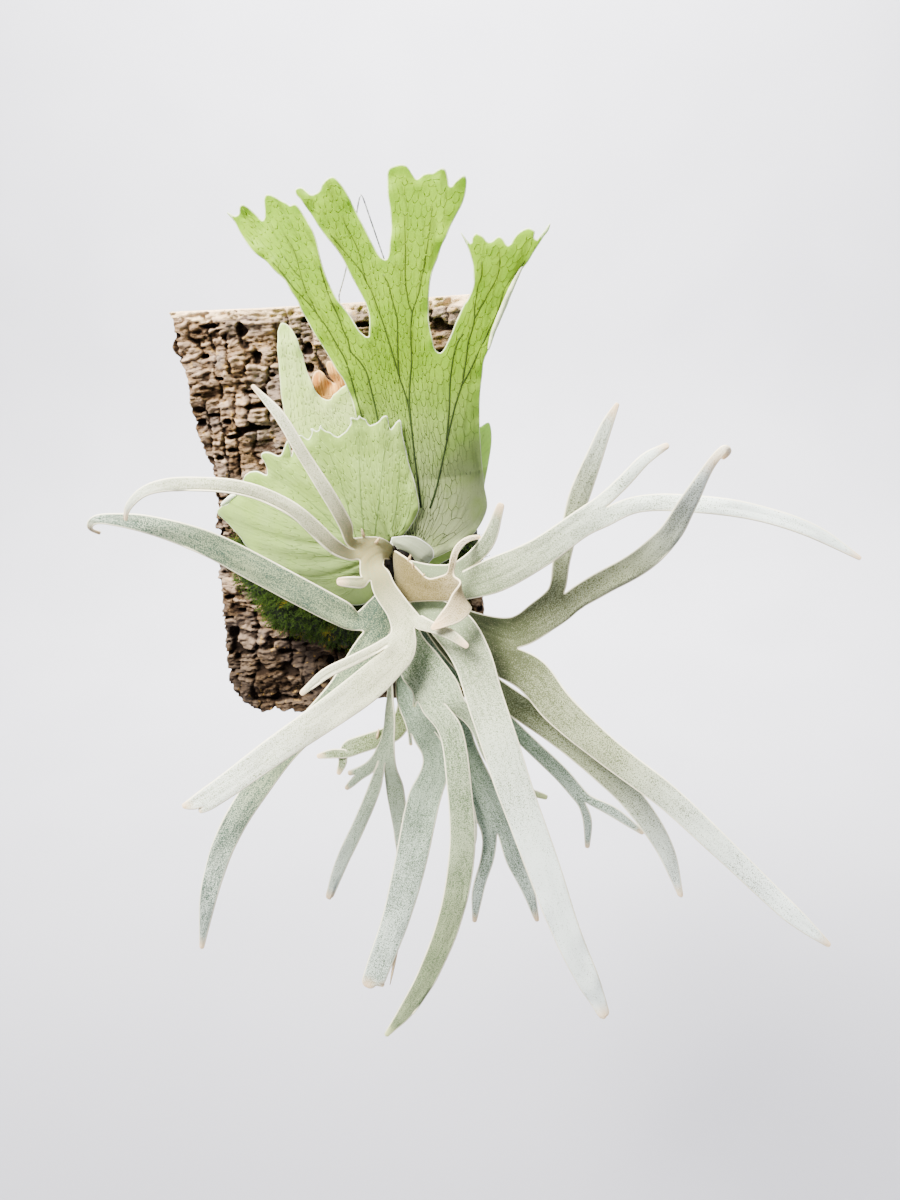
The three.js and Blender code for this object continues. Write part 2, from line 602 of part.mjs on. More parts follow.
const FERTILE_FRONDS = {
  frond_front_left: {
    rows: [[47, -90, -4, 8], [43, -105, 1, 16], [34, -116, -2, 37]],
    heading: [-0.75, -0.4, -0.5],
    bow: 0.25,
    arms: [
      {
        rows: [[43, -125, -17, 18], [51, -132, -26, 20], [60, -137, -37, 24]],
        arms: [
          { rows: [[74, -144, -39, 7], [87, -149, -41, 6], [96, -152, -44, 3]], columns: 1 },
          {
            rows: [[54, -148, -50, 23]],
            arms: [
              {
                rows: [
                  [36, -160, -64, 20], [11, -173, -78, 18], [-18, -184, -94, 16], [-48, -192, -113, 14],
                  [-61, -194, -121, 13],
                ],
                arms: [
                  { rows: [[-64, -195, -127, 3]], columns: 1 },
                  { rows: [[-69, -195, -123, 7], [-74, -195, -124, 3]], columns: 1 },
                ],
              },
              { rows: [[28, -155, -50, 6], [11, -158, -57, 6], [-5, -157, -70, 3]], columns: 1 },
            ],
          },
        ],
      },
      { rows: [[27, -128, -8, 6], [19, -132, -7, 4]], columns: 1 },
      {
        rows: [
          [18, -126, 12, 9], [9, -130, 24, 9], [-5, -134, 40, 8], [-29, -138, 53, 8], [-60, -141, 58, 8],
          [-85, -143, 56, 6], [-102, -143, 42, 2],
        ],
      },
      {
        rows: [
          [22, -124, 24, 8], [15, -127, 44, 8], [5, -127, 69, 7], [-7, -124, 92, 6], [-22, -119, 109, 2],
        ],
      },
    ],
  },
  frond_left_low: {
    rows: [[47, -90, -26, 9], [39, -108, -37, 20], [33, -116, -45, 26]],
    arms: [
      {
        rows: [
          [24, -126, -68, 19], [13, -135, -81, 17], [-4, -145, -96, 16], [-22, -155, -111, 16],
          [-39, -162, -131, 16], [-55, -167, -153, 15], [-69, -170, -179, 14], [-80, -171, -209, 11],
          [-93, -167, -253, 3],
        ],
      },
      {
        rows: [
          [17, -117, -35, 16], [-5, -120, -20, 17], [-32, -122, -2, 17], [-63, -125, 18, 15],
          [-94, -128, 31, 11], [-116, -130, 36, 7], [-128, -130, 36, 5], [-133, -127, 29, 4],
          [-129, -123, 26, 2],
        ],
      },
    ],
  },
  frond_centre: {
    rows: [[52, -91, -39, 8], [57, -123, -53, 24], [66, -133, -66, 39], [74, -142, -82, 42]],
    heading: [0, -0.5, -0.86],
    arms: [
      { rows: [[99, -142, -100, 11], [107, -141, -124, 10], [121, -138, -148, 7], [141, -134, -160, 3]] },
      {
        rows: [
          [80, -151, -100, 20], [86, -162, -136, 19], [87, -169, -175, 17], [78, -173, -222, 15],
          [60, -174, -269, 13], [44, -173, -299, 10], [28, -171, -323, 3],
        ],
      },
      { rows: [[57, -142, -88, 2]], columns: 1 },
    ],
  },
  frond_centre_right: {
    rows: [
      [54, -91, -27, 8], [73, -117, -34, 18], [89, -131, -43, 25], [99, -142, -58, 23], [105, -152, -77, 22],
      [113, -165, -100, 22], [123, -177, -131, 21], [136, -187, -170, 20], [150, -193, -217, 17],
      [163, -195, -253, 14], [173, -195, -280, 7],
    ],
  },
  frond_curled: {
    rows: [
      [49, -90, -17, 8], [50, -105, -16, 19], [56, -110, -18, 25], [66, -116, -18, 21], [77, -121, -18, 15],
      [86, -127, -15, 16], [93, -131, -15, 21],
    ],
    side: [0, 0, -1],
    arms: [
      { rows: [[92, -129, 2, 6], [95, -127, 11, 4], [105, -122, 13, 2]], columns: 1 },
      { rows: [[97, -139, -24, 15], [89, -146, -28, 9], [76, -152, -34, 2]], side: [0, 0, -1] },
    ],
  },
  frond_upper_right: {
    rows: [[54, -90, -13, 9], [72, -103, -17, 17], [92, -114, -16, 24]],
    arms: [
      { rows: [[109, -121, 9, 9], [119, -122, 33, 4]] },
      {
        rows: [[114, -126, -9, 21], [141, -139, 8, 17], [164, -149, 27, 15], [176, -153, 35, 17]],
        arms: [
          { rows: [[188, -153, 52, 7], [199, -154, 64, 6], [210, -153, 70, 3]], columns: 1 },
          {
            rows: [
              [196, -158, 40, 9], [227, -165, 40, 9], [257, -170, 35, 8], [286, -172, 24, 7],
              [310, -172, 9, 2],
            ],
          },
        ],
      },
    ],
  },
  frond_right: {
    rows: [[55, -88, -32, 9], [80, -102, -46, 21], [102, -108, -57, 30], [120, -113, -63, 40]],
    arms: [
      {
        rows: [[142, -118, -40, 21], [155, -121, -28, 22]],
        arms: [
          {
            rows: [
              [154, -123, -3, 10], [159, -124, 17, 10], [165, -126, 38, 12], [174, -128, 62, 9],
              [181, -129, 80, 6], [186, -130, 90, 2],
            ],
          },
          {
            rows: [
              [175, -129, -17, 14], [198, -142, 1, 14], [212, -156, 21, 12], [219, -175, 45, 9],
              [225, -186, 63, 5], [229, -190, 72, 3], [234, -189, 73, 2],
            ],
          },
        ],
      },
      {
        rows: [
          [134, -122, -78, 23], [150, -135, -95, 21], [179, -152, -117, 17], [213, -169, -139, 15],
          [249, -182, -172, 13], [282, -190, -205, 11], [307, -193, -228, 3],
        ],
      },
    ],
  },
  frond_behind_right: {
    rows: [
      [57, -84, -36, 7], [68, -91, -51, 11], [82, -96, -70, 13], [104, -103, -92, 16], [123, -109, -105, 16],
      [152, -119, -123, 16], [180, -129, -145, 16], [201, -136, -168, 14], [218, -139, -198, 11],
      [229, -138, -235, 3],
    ],
  },
  frond_far_right: {
    rows: [
      [54, -82, -44, 7], [62, -86, -61, 8], [80, -89, -84, 9], [106, -92, -114, 10], [129, -96, -139, 10],
      [152, -101, -162, 10], [167, -104, -181, 10],
    ],
    arms: [
      { rows: [[186, -108, -188, 7], [207, -109, -205, 3]], columns: 1 },
      { rows: [[170, -104, -198, 6], [170, -102, -221, 3]], columns: 1 },
    ],
  },
  frond_lower: {
    rows: [[52, -90, -44, 7], [55, -99, -69, 16], [61, -108, -93, 34], [71, -116, -113, 40]],
    arms: [
      {
        rows: [[87, -117, -135, 20], [97, -118, -164, 22], [108, -118, -194, 23]],
        arms: [
          { rows: [[119, -118, -222, 11], [128, -118, -248, 8], [133, -116, -273, 3]] },
          { rows: [[100, -117, -219, 9], [92, -115, -248, 8], [88, -112, -277, 3]] },
        ],
      },
      { rows: [[84, -126, -150, 7], [90, -128, -175, 8], [90, -127, -198, 7], [82, -124, -222, 5]], columns: 1 },
      {
        rows: [
          [71, -132, -132, 18], [62, -142, -156, 23], [51, -152, -195, 24], [38, -158, -238, 22],
          [25, -161, -288, 17],
        ],
      },
      { rows: [[53, -118, -128, 2]], columns: 1 },
    ],
  },
  frond_edge_on: {
    rows: [
      [44, -88, -45, 7], [41, -103, -66, 9, 60], [41, -107, -84, 10, 75], [41, -113, -100, 10, 75],
      [38, -118, -121, 9, 45], [35, -121, -136, 12],
    ],
    arms: [
      { rows: [[39, -119, -166, 10], [41, -117, -204, 8], [40, -115, -239, 4]] },
      { rows: [[26, -123, -160, 9], [12, -125, -190, 9], [-2, -125, -218, 8], [-16, -123, -252, 3]] },
      { rows: [[23, -121, -144, 7], [12, -120, -153, 4], [5, -118, -162, 2]], columns: 1 },
    ],
  },
  frond_small_left: {
    rows: [
      [46, -78, -48, 7], [46, -80, -67, 9], [47, -83, -88, 9], [47, -84, -116, 10], [40, -86, -136, 10],
      [27, -87, -144, 10], [9, -88, -147, 10], [-7, -89, -151, 8], [-19, -89, -152, 3],
    ],
  },
};

// ---- The whole ----------------------------------------------------------------------------

const group = new THREE.Group();
const rhizomeSpace = solidFrom(rhizomeGeometry(CLEARANCE));

const board = cutGeometry(boardGeometry(), [wireHole(WIRE_LEFT), wireHole(WIRE_RIGHT)]);
group.add(named("cork_board", board, 0xb59a80, 0.95));
group.add(named("hanger_wire", wireGeometry(), 0x8c8c88, 0.4));
group.add(named("moss_root_ball", cutGeometry(mossGeometry(), [rhizomeSpace]), 0x4c6a28, 0.95));
group.add(named("rhizome", rhizomeGeometry(0), 0x2a1a12, 0.9));

const shields = {
  tall_shield: [lobedShield(TALL_SHIELD, TALL_LAYER), 0xb5d678],
  finger_shield: [lobedShield(FINGER_SHIELD, FINGER_LAYER), 0xcfe0b0],
  brown_shield: [lobedShield(BROWN_SHIELD, BROWN_LAYER), 0xc98a4b],
  bud_shield: [lobedShield(BUD_SHIELD, BUD_LAYER), 0xe3e8d8],
  round_shield: [fanShield(ROUND_BASE, ROUND_MARGIN, ROUND_LAYER, ROUND_REACHES), 0xc5dcae],
  right_shield: [fanShield(RIGHT_BASE, RIGHT_MARGIN, RIGHT_LAYER, RIGHT_REACHES), 0xd3e3b8],
};
for (const [name, [geometry, colour]] of Object.entries(shields)) {
  group.add(named(name, cutGeometry(geometry, [rhizomeSpace]), colour, 0.7));
}
for (const [name, blade] of Object.entries(FERTILE_FRONDS)) {
  group.add(named(name, cutGeometry(frondGeometry(blade), [rhizomeSpace]), 0xc9d3c8, 0.8));
}

export default group;
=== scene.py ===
"""A staghorn fern mounted on a slab of cork bark, dressed for the render.

Every piece is grown from the same sizes as the solid that it replaces, in millimetres, with the
origin in the middle of the board's flat back, +X to the right, +Z up and the plant towards -Y.
"""

import logging
import math
from dataclasses import dataclass, field
from enum import Enum
from typing import Any, Optional, Sequence

import bpy
import numpy as np
from mathutils import Matrix, Quaternion, Vector
from mathutils.geometry import delaunay_2d_cdt
from mathutils.kdtree import KDTree


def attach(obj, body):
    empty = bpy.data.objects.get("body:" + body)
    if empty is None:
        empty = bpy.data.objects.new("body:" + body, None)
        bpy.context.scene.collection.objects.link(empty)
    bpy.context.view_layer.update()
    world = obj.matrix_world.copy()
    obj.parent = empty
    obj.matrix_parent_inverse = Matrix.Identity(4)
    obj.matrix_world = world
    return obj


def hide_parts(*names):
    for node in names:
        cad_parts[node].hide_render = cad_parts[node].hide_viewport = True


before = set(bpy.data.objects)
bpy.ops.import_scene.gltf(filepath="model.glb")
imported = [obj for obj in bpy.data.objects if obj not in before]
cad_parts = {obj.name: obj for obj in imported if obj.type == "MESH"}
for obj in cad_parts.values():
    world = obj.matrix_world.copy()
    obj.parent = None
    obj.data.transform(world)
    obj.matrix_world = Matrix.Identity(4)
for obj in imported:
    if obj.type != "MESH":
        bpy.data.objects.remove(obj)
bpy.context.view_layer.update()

log = logging.getLogger("staghorn")

MM = 0.001
BODY = "root"
Array = np.ndarray
Line = Sequence[Sequence[float]]  # places of two or three numbers each


# ---- Helpers ----


def linear(hex_colour: str) -> tuple[float, float, float, float]:
    """Turns an sRGB hex colour into linear light.

    Args:
        hex_colour: Six hex digits, with or without a leading #.

    Returns:
        Red, green, blue and an alpha of 1, linear.
    """
    digits = hex_colour.lstrip("#")
    channels = [int(digits[i : i + 2], 16) / 255 for i in (0, 2, 4)]
    light = [c / 12.92 if c <= 0.04045 else ((c + 0.055) / 1.055) ** 2.4 for c in channels]
    return (light[0], light[1], light[2], 1.0)


def per_metre(size_mm: float) -> float:
    """Returns the texture scale whose cells are size_mm across, where coordinates are in metres."""
    return 1 / (size_mm * MM)


def smoothstep(low: float, high: float, value: Array) -> Array:
    """Returns 0 below low, 1 above high and a smooth ramp between them."""
    t = np.clip((value - low) / (high - low), 0, 1)
    return t * t * (3 - 2 * t)


class Lattice:
    """Smooth seeded noise over a plane, from 0 to 1, one cell to each unit."""

    SIDE = 256

    def __init__(self, seed: int) -> None:
        """Fills the lattice with random numbers from the seed."""
        self.values = np.random.default_rng(seed).random((self.SIDE, self.SIDE))

    def at(self, u: Array, v: Array) -> Array:
        """Reads the noise.

        Args:
            u: First coordinates, in cells.
            v: Second coordinates, in cells.

        Returns:
            A value from 0 to 1 for each point.
        """
        i, j = np.floor(u).astype(int), np.floor(v).astype(int)
        s, t = u - i, v - j
        s, t = s * s * (3 - 2 * s), t * t * (3 - 2 * t)
        n = self.SIDE
        near = self.values[i % n, j % n] * (1 - s) + self.values[(i + 1) % n, j % n] * s
        far = self.values[i % n, (j + 1) % n] * (1 - s) + self.values[(i + 1) % n, (j + 1) % n] * s
        return near * (1 - t) + far * t


def along(points: Line, at: Array, key: int) -> Array:
    """Returns an outline's other coordinate where its coordinate `key`, 0 or 1, has the values `at`."""
    table = np.array(sorted((p[key], p[1 - key]) for p in points))
    return np.interp(at, table[:, 0], table[:, 1])


def inside(outline: Line, x: Array, z: Array) -> Array:
    """Finds the points that lie inside an outline.

    Args:
        outline: The corners of a closed outline, as x and z.
        x: How far to the right each point lies.
        z: How high.

    Returns:
        Which of them lie inside.
    """
    crossings = np.zeros(x.shape, int)
    for (x0, z0), (x1, z1) in zip(outline, [*outline[1:], outline[0]]):
        if z0 == z1:
            continue
        meets = ((z0 > z) != (z1 > z)) & (x < (x1 - x0) * (z - z0) / (z1 - z0) + x0)
        crossings += meets
    return crossings % 2 == 1


def unit(vectors: Array) -> Array:
    """Returns vectors of length 1."""
    return vectors / np.maximum(np.linalg.norm(vectors, axis=-1, keepdims=True), 1e-9)


def reached(line: Array) -> Array:
    """Returns how far along a line each of its places lies."""
    return np.concatenate([[0], np.cumsum(np.linalg.norm(np.diff(line, axis=0), axis=1))])


def lookup(places: Sequence[Any]) -> KDTree:
    """Readies places for finding the nearest one.

    Args:
        places: The places, of three numbers each.

    Returns:
        The tree that finds them.
    """
    tree = KDTree(len(places))
    for i, place in enumerate(places):
        tree.insert(place, i)
    tree.balance()
    return tree


def put(name: str, data: Any) -> bpy.types.Object:
    """Puts a new object in the scene.

    Args:
        name: Its name.
        data: Its mesh, curve, light or camera.

    Returns:
        The object.
    """
    thing = bpy.data.objects.new(name, data)
    bpy.context.scene.collection.objects.link(thing)
    return thing


@dataclass
class Fabric:
    """A mesh under construction: points in mm, faces, and numbers on the points."""

    points: list[Array] = field(default_factory=list)
    faces: list[list[int]] = field(default_factory=list)
    marks: dict[str, list[Array]] = field(default_factory=dict)
    count: int = 0

    def add(self, points: Array, faces: Sequence[Sequence[int]], **marks: Any) -> None:
        """Adds a part of the mesh.

        Args:
            points: An (n, 3) array in mm.
            faces: Indices into those points.
            marks: Named numbers, one for each point or one for all of them.
        """
        self.faces.extend([i + self.count for i in face] for face in faces)
        for name in set(self.marks) | set(marks):
            earlier = self.marks.setdefault(name, [np.zeros(self.count)] if self.count else [])
            value = np.asarray(marks.get(name, 0.0), float)
            earlier.append(np.broadcast_to(value, len(points)).copy())
        self.points.append(points)
        self.count += len(points)

    def piece(self, name: str, nodes: Sequence[str], material: bpy.types.Material) -> bpy.types.Object:
        """Makes the object and hides the solids that it replaces.

        Args:
            name: The piece's name.
            nodes: The solids that it replaces.
            material: What it is made of.

        Returns:
            The new object, which rides on the part's one body.
        """
        mesh = bpy.data.meshes.new(name)
        mesh.from_pydata((np.vstack(self.points) * MM).tolist(), [], self.faces)
        for mark, values in self.marks.items():
            layer = mesh.attributes.new(mark, "FLOAT", "POINT")
            layer.data.foreach_set("value", np.concatenate(values).astype(np.float32))
        mesh.shade_smooth()
        mesh.materials.append(material)
        body = put(name, mesh)
        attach(body, BODY)
        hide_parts(*nodes)
        log.info("%s: %d points, %d faces", name, self.count, len(self.faces))
        return body


def cones(bases: Array, ways: Array, lengths: Array, radius: float) -> tuple[Array, list]:
    """Makes hairs, each a closed three-sided cone.

    Args:
        bases: An (n, 3) array of the places that they grow from.
        ways: Unit vectors along them.
        lengths: Their lengths in mm.
        radius: Their radius at the base in mm.

    Returns:
        Points and faces.
    """
    aside = unit(np.cross(ways, np.array([0.31, 0.52, 0.79])))
    other = np.cross(ways, aside)
    corners = [bases + radius * (math.cos(turn) * aside + math.sin(turn) * other) for turn in (0, 2.094, 4.189)]
    points = np.stack([*corners, bases + ways * lengths[:, None]], 1).reshape(-1, 3)
    faces = []
    for i in range(0, len(points), 4):
        faces += [[i, i + 1, i + 3], [i + 1, i + 2, i + 3], [i + 2, i, i + 3], [i + 2, i + 1, i]]
    return points, faces


def leaflets(
    bases: Array, ways: Array, faces_out: Array, lengths: Array, widths: Array
) -> tuple[Array, list]:
    """Makes small pointed leaves or scales, each a thin closed keel of four faces.

    Args:
        bases: An (n, 3) array of the places that they grow from.
        ways: Unit vectors along them.
        faces_out: Vectors that their upper sides look along.
        lengths: Their lengths in mm.
        widths: Their widths in mm.

    Returns:
        Points and faces.
    """
    side = unit(np.cross(ways, faces_out))
    up = np.cross(side, ways)
    middle = bases + ways * (0.45 * lengths)[:, None]
    half = side * (widths / 2)[:, None]
    lift = up * (0.25 * widths)[:, None]
    corners = [bases, middle + half + lift, bases + ways * lengths[:, None], middle - half + lift]
    points = np.stack(corners, 1).reshape(-1, 3)
    faces = []
    for i in range(0, len(points), 4):
        faces += [[i, i + 1, i + 2], [i, i + 2, i + 3], [i, i + 3, i + 1], [i + 1, i + 3, i + 2]]
    return points, faces


def strands(routes: Array, radii: Any, sides: int = 4) -> tuple[Array, list]:
    """Makes round strands.

    Args:
        routes: An (n, m, 3) array of the places that each of n strands runs through, in mm.
        radii: Their radius in mm, or one for each of the m places.
        sides: How many sides they have.

    Returns:
        Points and faces, each strand closed at both ends.
    """
    count, stations = routes.shape[:2]
    ways = unit(np.gradient(routes, axis=1))
    aside = unit(np.cross(ways, np.array([0.05, 1.0, 0.1])))
    other = np.cross(ways, aside)
    turns = np.arange(sides) * 2 * math.pi / sides
    ring = np.cos(turns)[:, None] * aside[:, :, None] + np.sin(turns)[:, None] * other[:, :, None]
    points = (routes[:, :, None] + ring * np.broadcast_to(radii, stations)[:, None, None]).reshape(-1, 3)
    around = np.arange(sides)
    near = np.arange(stations - 1)[:, None] * sides + around
    nexts = np.arange(stations - 1)[:, None] * sides + np.roll(around, -1)
    walls = np.stack([near, nexts, nexts + sides, near + sides], -1).reshape(-1, 4)
    ends = [around[::-1].tolist(), (around + (stations - 1) * sides).tolist()]
    faces = []
    for i in range(count):
        first = i * stations * sides
        faces += (walls + first).tolist() + [[k + first for k in end] for end in ends]
    return points, faces


def level_slopes(values: Sequence[float], at: Array) -> Array:
    """Finds the slopes with which a smooth curve never overshoots its values.

    Args:
        values: The values that it runs through.
        at: Where it meets them.

    Returns:
        Its slope at each.
    """
    rise = np.diff(values) / np.diff(at)
    slopes = np.zeros(len(values))
    both, total = rise[:-1] * rise[1:], rise[:-1] + rise[1:]
    slopes[1:-1] = np.where(both > 0, 2 * both / np.where(total == 0, 1, total), 0)
    slopes[0], slopes[-1] = rise[0], rise[-1]
    return slopes


def smooth_route(points: Line, step: float) -> Array:
    """Runs a Catmull-Rom curve through points.

    Args:
        points: The points, of two or three numbers each.
        step: The rough distance between the places that come back.

    Returns:
        Places along the curve.
    """
    knots = np.array(points, float)
    padded = np.vstack([2 * knots[0] - knots[1], knots, 2 * knots[-1] - knots[-2]])
    places = [knots[0]]
    for a, b, c, d in zip(padded, padded[1:], padded[2:], padded[3:]):
        count = max(1, round(float(np.linalg.norm(c - b)) / step))
        for t in np.arange(1, count + 1) / count:
            bend = (2 * a - 5 * b + 4 * c - d) * t**2 + (3 * b - a - 3 * c + d) * t**3
            places.append(b + 0.5 * ((c - a) * t + bend))
    return np.array(places)


# ---- Materials ----


def add_node(
    tree: bpy.types.NodeTree, kind: str, inputs: dict[Any, Any], stops: Sequence[tuple[float, str]] = (),
    **settings: Any,
) -> bpy.types.NodeOutputs:
    """Adds one node.

    Args:
        tree: The material's tree.
        kind: The node's type, without the ShaderNode that all of them begin with.
        inputs: What each input takes, by name or number: an output, a value or a hex colour.
        stops: Places and hex colours along its colour ramp.
        settings: Its own settings.

    Returns:
        Its outputs.
    """
    node = tree.nodes.new("ShaderNode" + kind)
    for name, value in settings.items():
        setattr(node, name, value)
    for socket, value in inputs.items():
        if isinstance(value, bpy.types.NodeSocket):
            tree.links.new(value, node.inputs[socket])
        else:
            node.inputs[socket].default_value = linear(value) if isinstance(value, str) else value
    for i, (place, colour) in enumerate(stops):
        elements = node.color_ramp.elements
        stop = elements[i] if i < 2 else elements.new(place)
        stop.position = place
        stop.color = linear(colour)
    return node.outputs


class Shader:
    """A material in the making, with the sums that the finishes share.

    A factor is an output, a number, or an output with a range and, if it isn't 0 to 1, what that range
    leads to: (output, low, high, at low, at high), with a smooth rise between them.
    """

    def __init__(self, name: str) -> None:
        """Makes an empty material.

        Args:
            name: What the material is called.
        """
        self.material = bpy.data.materials.new(name)
        self.material.use_nodes = True
        self.material.node_tree.nodes.clear()
        self.place = self.add("TexCoord", {})["Object"]

    def add(self, kind: str, inputs: dict[Any, Any], **options: Any) -> bpy.types.NodeOutputs:
        """Adds a node to this material, as add_node says."""
        return add_node(self.material.node_tree, kind, inputs, **options)

    def marks(self, *names: str) -> list[Any]:
        """Returns the numbers that the mesh carries under these names."""
        return [self.add("Attribute", {}, attribute_name=name)["Fac"] for name in names]

    def grains(self, *sizes: tuple[float, float]) -> list[Any]:
        """Returns noises, each made from the size of its grains in mm and its detail."""
        inputs = [{"Vector": self.place, "Scale": per_metre(size), "Detail": detail} for size, detail in sizes]
        return [self.add("TexNoise", values)["Fac"] for values in inputs]

    def fibres(self, size_mm: float, detail: float, squeeze: float) -> Any:
        """Draws noise out along the leaf's growth.

        Args:
            size_mm: The width of its fibres.
            detail: Its detail.
            squeeze: Their width as a share of their length.

        Returns:
            The noise.
        """
        across, run = self.marks("across", "run")
        flow = self.add("CombineXYZ", {"X": across, "Y": self.amount(run, squeeze)})["Vector"]
        return self.add("TexNoise", {"Vector": flow, "Scale": 1 / size_mm, "Detail": detail})["Fac"]

    def amount(self, *factors: Any) -> Any:
        """Multiplies factors.

        Args:
            factors: The factors.

        Returns:
            Their product.
        """
        product = None
        for factor in factors:
            if isinstance(factor, tuple):
                value, low, high, *ends = factor
                inputs = {"Value": value, "From Min": low, "From Max": high}
                inputs.update(zip(("To Min", "To Max"), ends))
                factor = self.add("MapRange", inputs, interpolation_type="SMOOTHSTEP")[0]
            first = product is None
            product = factor if first else self.add("Math", {0: product, 1: factor}, operation="MULTIPLY")[0]
        return product

    def total(self, *terms: Any) -> Any:
        """Adds up terms.

        Args:
            terms: Outputs and numbers.

        Returns:
            Their sum.
        """
        whole = terms[0]
        for term in terms[1:]:
            whole = self.add("Math", {0: whole, 1: term}, operation="ADD")[0]
        return whole

    def coated(self, colour: Any, *coats: Sequence[Any]) -> Any:
        """Lays coats of colour over a colour.

        Args:
            colour: The lowest colour.
            coats: For each coat its colour and then the factors of how much of it shows.

        Returns:
            The mixed colour.
        """
        for over, *factors in coats:
            colour = self.add("Mix", {0: self.amount(*factors), 6: colour, 7: over}, data_type="RGBA")[2]
        return colour

    def close(
        self, colour: Any, roughness: Any, relief: Any = None, depth_mm: float = 0.0, glow: float = 0.0,
        light: Any = None, **inputs: Any,
    ) -> bpy.types.Material:
        """Finishes the material.

        Args:
            colour: Its base colour.
            roughness: Its roughness.
            relief: The height of its surface, from 0 to 1, or None.
            depth_mm: How high 1 stands.
            glow: The share of light that passes through a thin leaf.
            light: The colour of that light.
            inputs: Values of the shader's own sockets, with _ for a space.

        Returns:
            The material.
        """
        values = {"Base Color": colour, "Roughness": roughness}
        values.update({name.replace("_", " "): value for name, value in inputs.items()})
        if relief is not None:
            values["Normal"] = self.add("Bump", {"Height": relief, "Strength": 1.0, "Distance": depth_mm * MM})[0]
        surface = self.add("BsdfPrincipled", values)[0]
        if glow:
            through = self.add("BsdfTranslucent", {"Color": light})[0]
            surface = self.add("MixShader", {0: glow, 1: surface, 2: through})[0]
        self.add("OutputMaterial", {"Surface": surface})
        return self.material


@dataclass(frozen=True)
class FeltedLeaf:
    """A fertile frond: a leathery blade grown over with pale stellate felt.

    The felt is a mat of star-shaped hairs 0.2 mm wide. Where it has rubbed off, the leaf shows through
    as dark specks, and more of it shows near the base, partly as painted shade round the hub. It scatters
    light at grazing angles, which gives each blade a soft pale rim. The lower face carries painted shade,
    and on the tan felt the outer blade carries a painted highlight.
    """

    name: str
    felt: str
    leaf: str
    base_felt_and_shade: str = ""  # the felt near the base, where it differs; where it is darker, it is painted shade round the hub
    margin: str = "ebe4c6"
    tip: str = "e6c69c"
    bare: float = 0.5  # share of the felt that has rubbed off, 0 to 1
    # painted shade: half of this colour lies over each blade's lower face, as if it were in shadow
    shade: str = "8b947b"
    base_bare_and_shade: float = 0.04  # how much more is bare near the base, partly wear and partly painted shade round the hub
    base_mm: float = 110.0  # how far out that reaches
    tip_bare: float = 0.0  # how much more is bare far out
    far_mm: tuple[float, float] = (100.0, 250.0)  # where that begins and is full
    outer_felt_and_highlight: str = "e4efee"  # the felt towards the tips, mostly fresh felt; on the tan felt it is a painted highlight where the curled blade faces the light
    outer_felt_share: float = 0.6
    outer_felt_mm: float = 90.0  # how far out it begins
    outer_felt_fade: float = 160.0  # how far from there it is full
    speck_mm: float = 0.55  # a felt star is 0.2 mm, drawn coarse enough to show
    patch_mm: float = 30.0
    streak_mm: float = 1.4

    def build(self) -> bpy.types.Material:
        """Builds the material.

        Returns:
            The finished material.
        """
        s = Shader(self.name)
        specks, patches = s.grains((self.speck_mm, 3), (self.patch_mm, 2))
        streaks = s.fibres(self.streak_mm, 2, 0.08)
        down, margin, tip, hair, upper = s.marks("run", "margin", "tip", "hair", "upper")
        # wear of the felt, with more dark leaf showing near the base as painted shade round the hub
        wear_and_hub_shade = s.total(
            specks, s.amount(patches, 0.22), s.amount(streaks, 0.2), -0.21,
            s.amount((down, 0, self.base_mm, self.base_bare_and_shade, 0)), s.amount((down, *self.far_mm, 0, self.tip_bare)),
        )
        low = 0.6 - 0.24 * self.bare
        colour = s.coated(
            self.felt,
            # outer felt colour; on the tan felt this is a painted highlight
            (self.outer_felt_and_highlight, (down, self.outer_felt_mm, self.outer_felt_mm + self.outer_felt_fade, 0, self.outer_felt_share)),
            (self.base_felt_and_shade or self.felt, (down, 25, self.base_mm, 1, 0)),
            (self.leaf, (wear_and_hub_shade, low, low + 0.15), (margin, 0.1, 0.85)),
            # painted shade on the lower face: half the shade colour there, none on the upper face
            (self.shade, s.total(0.5, s.amount(upper, -0.5))),
            (self.margin, (margin, 0.1, 0.85, 0.85, 0)),
            (self.tip, tip, 0.85),
            (self.margin, hair),
        )
        relief = s.total(s.amount(specks, 0.6), s.amount(streaks, 0.4))
        return s.close(
            colour, s.amount((specks, 0.3, 0.7, 0.78, 0.95)), relief, 0.35, Specular_IOR_Level=0.25,
            Sheen_Weight=0.12, Sheen_Roughness=0.4, Sheen_Tint="f4f4ec", IOR=1.45,
        )


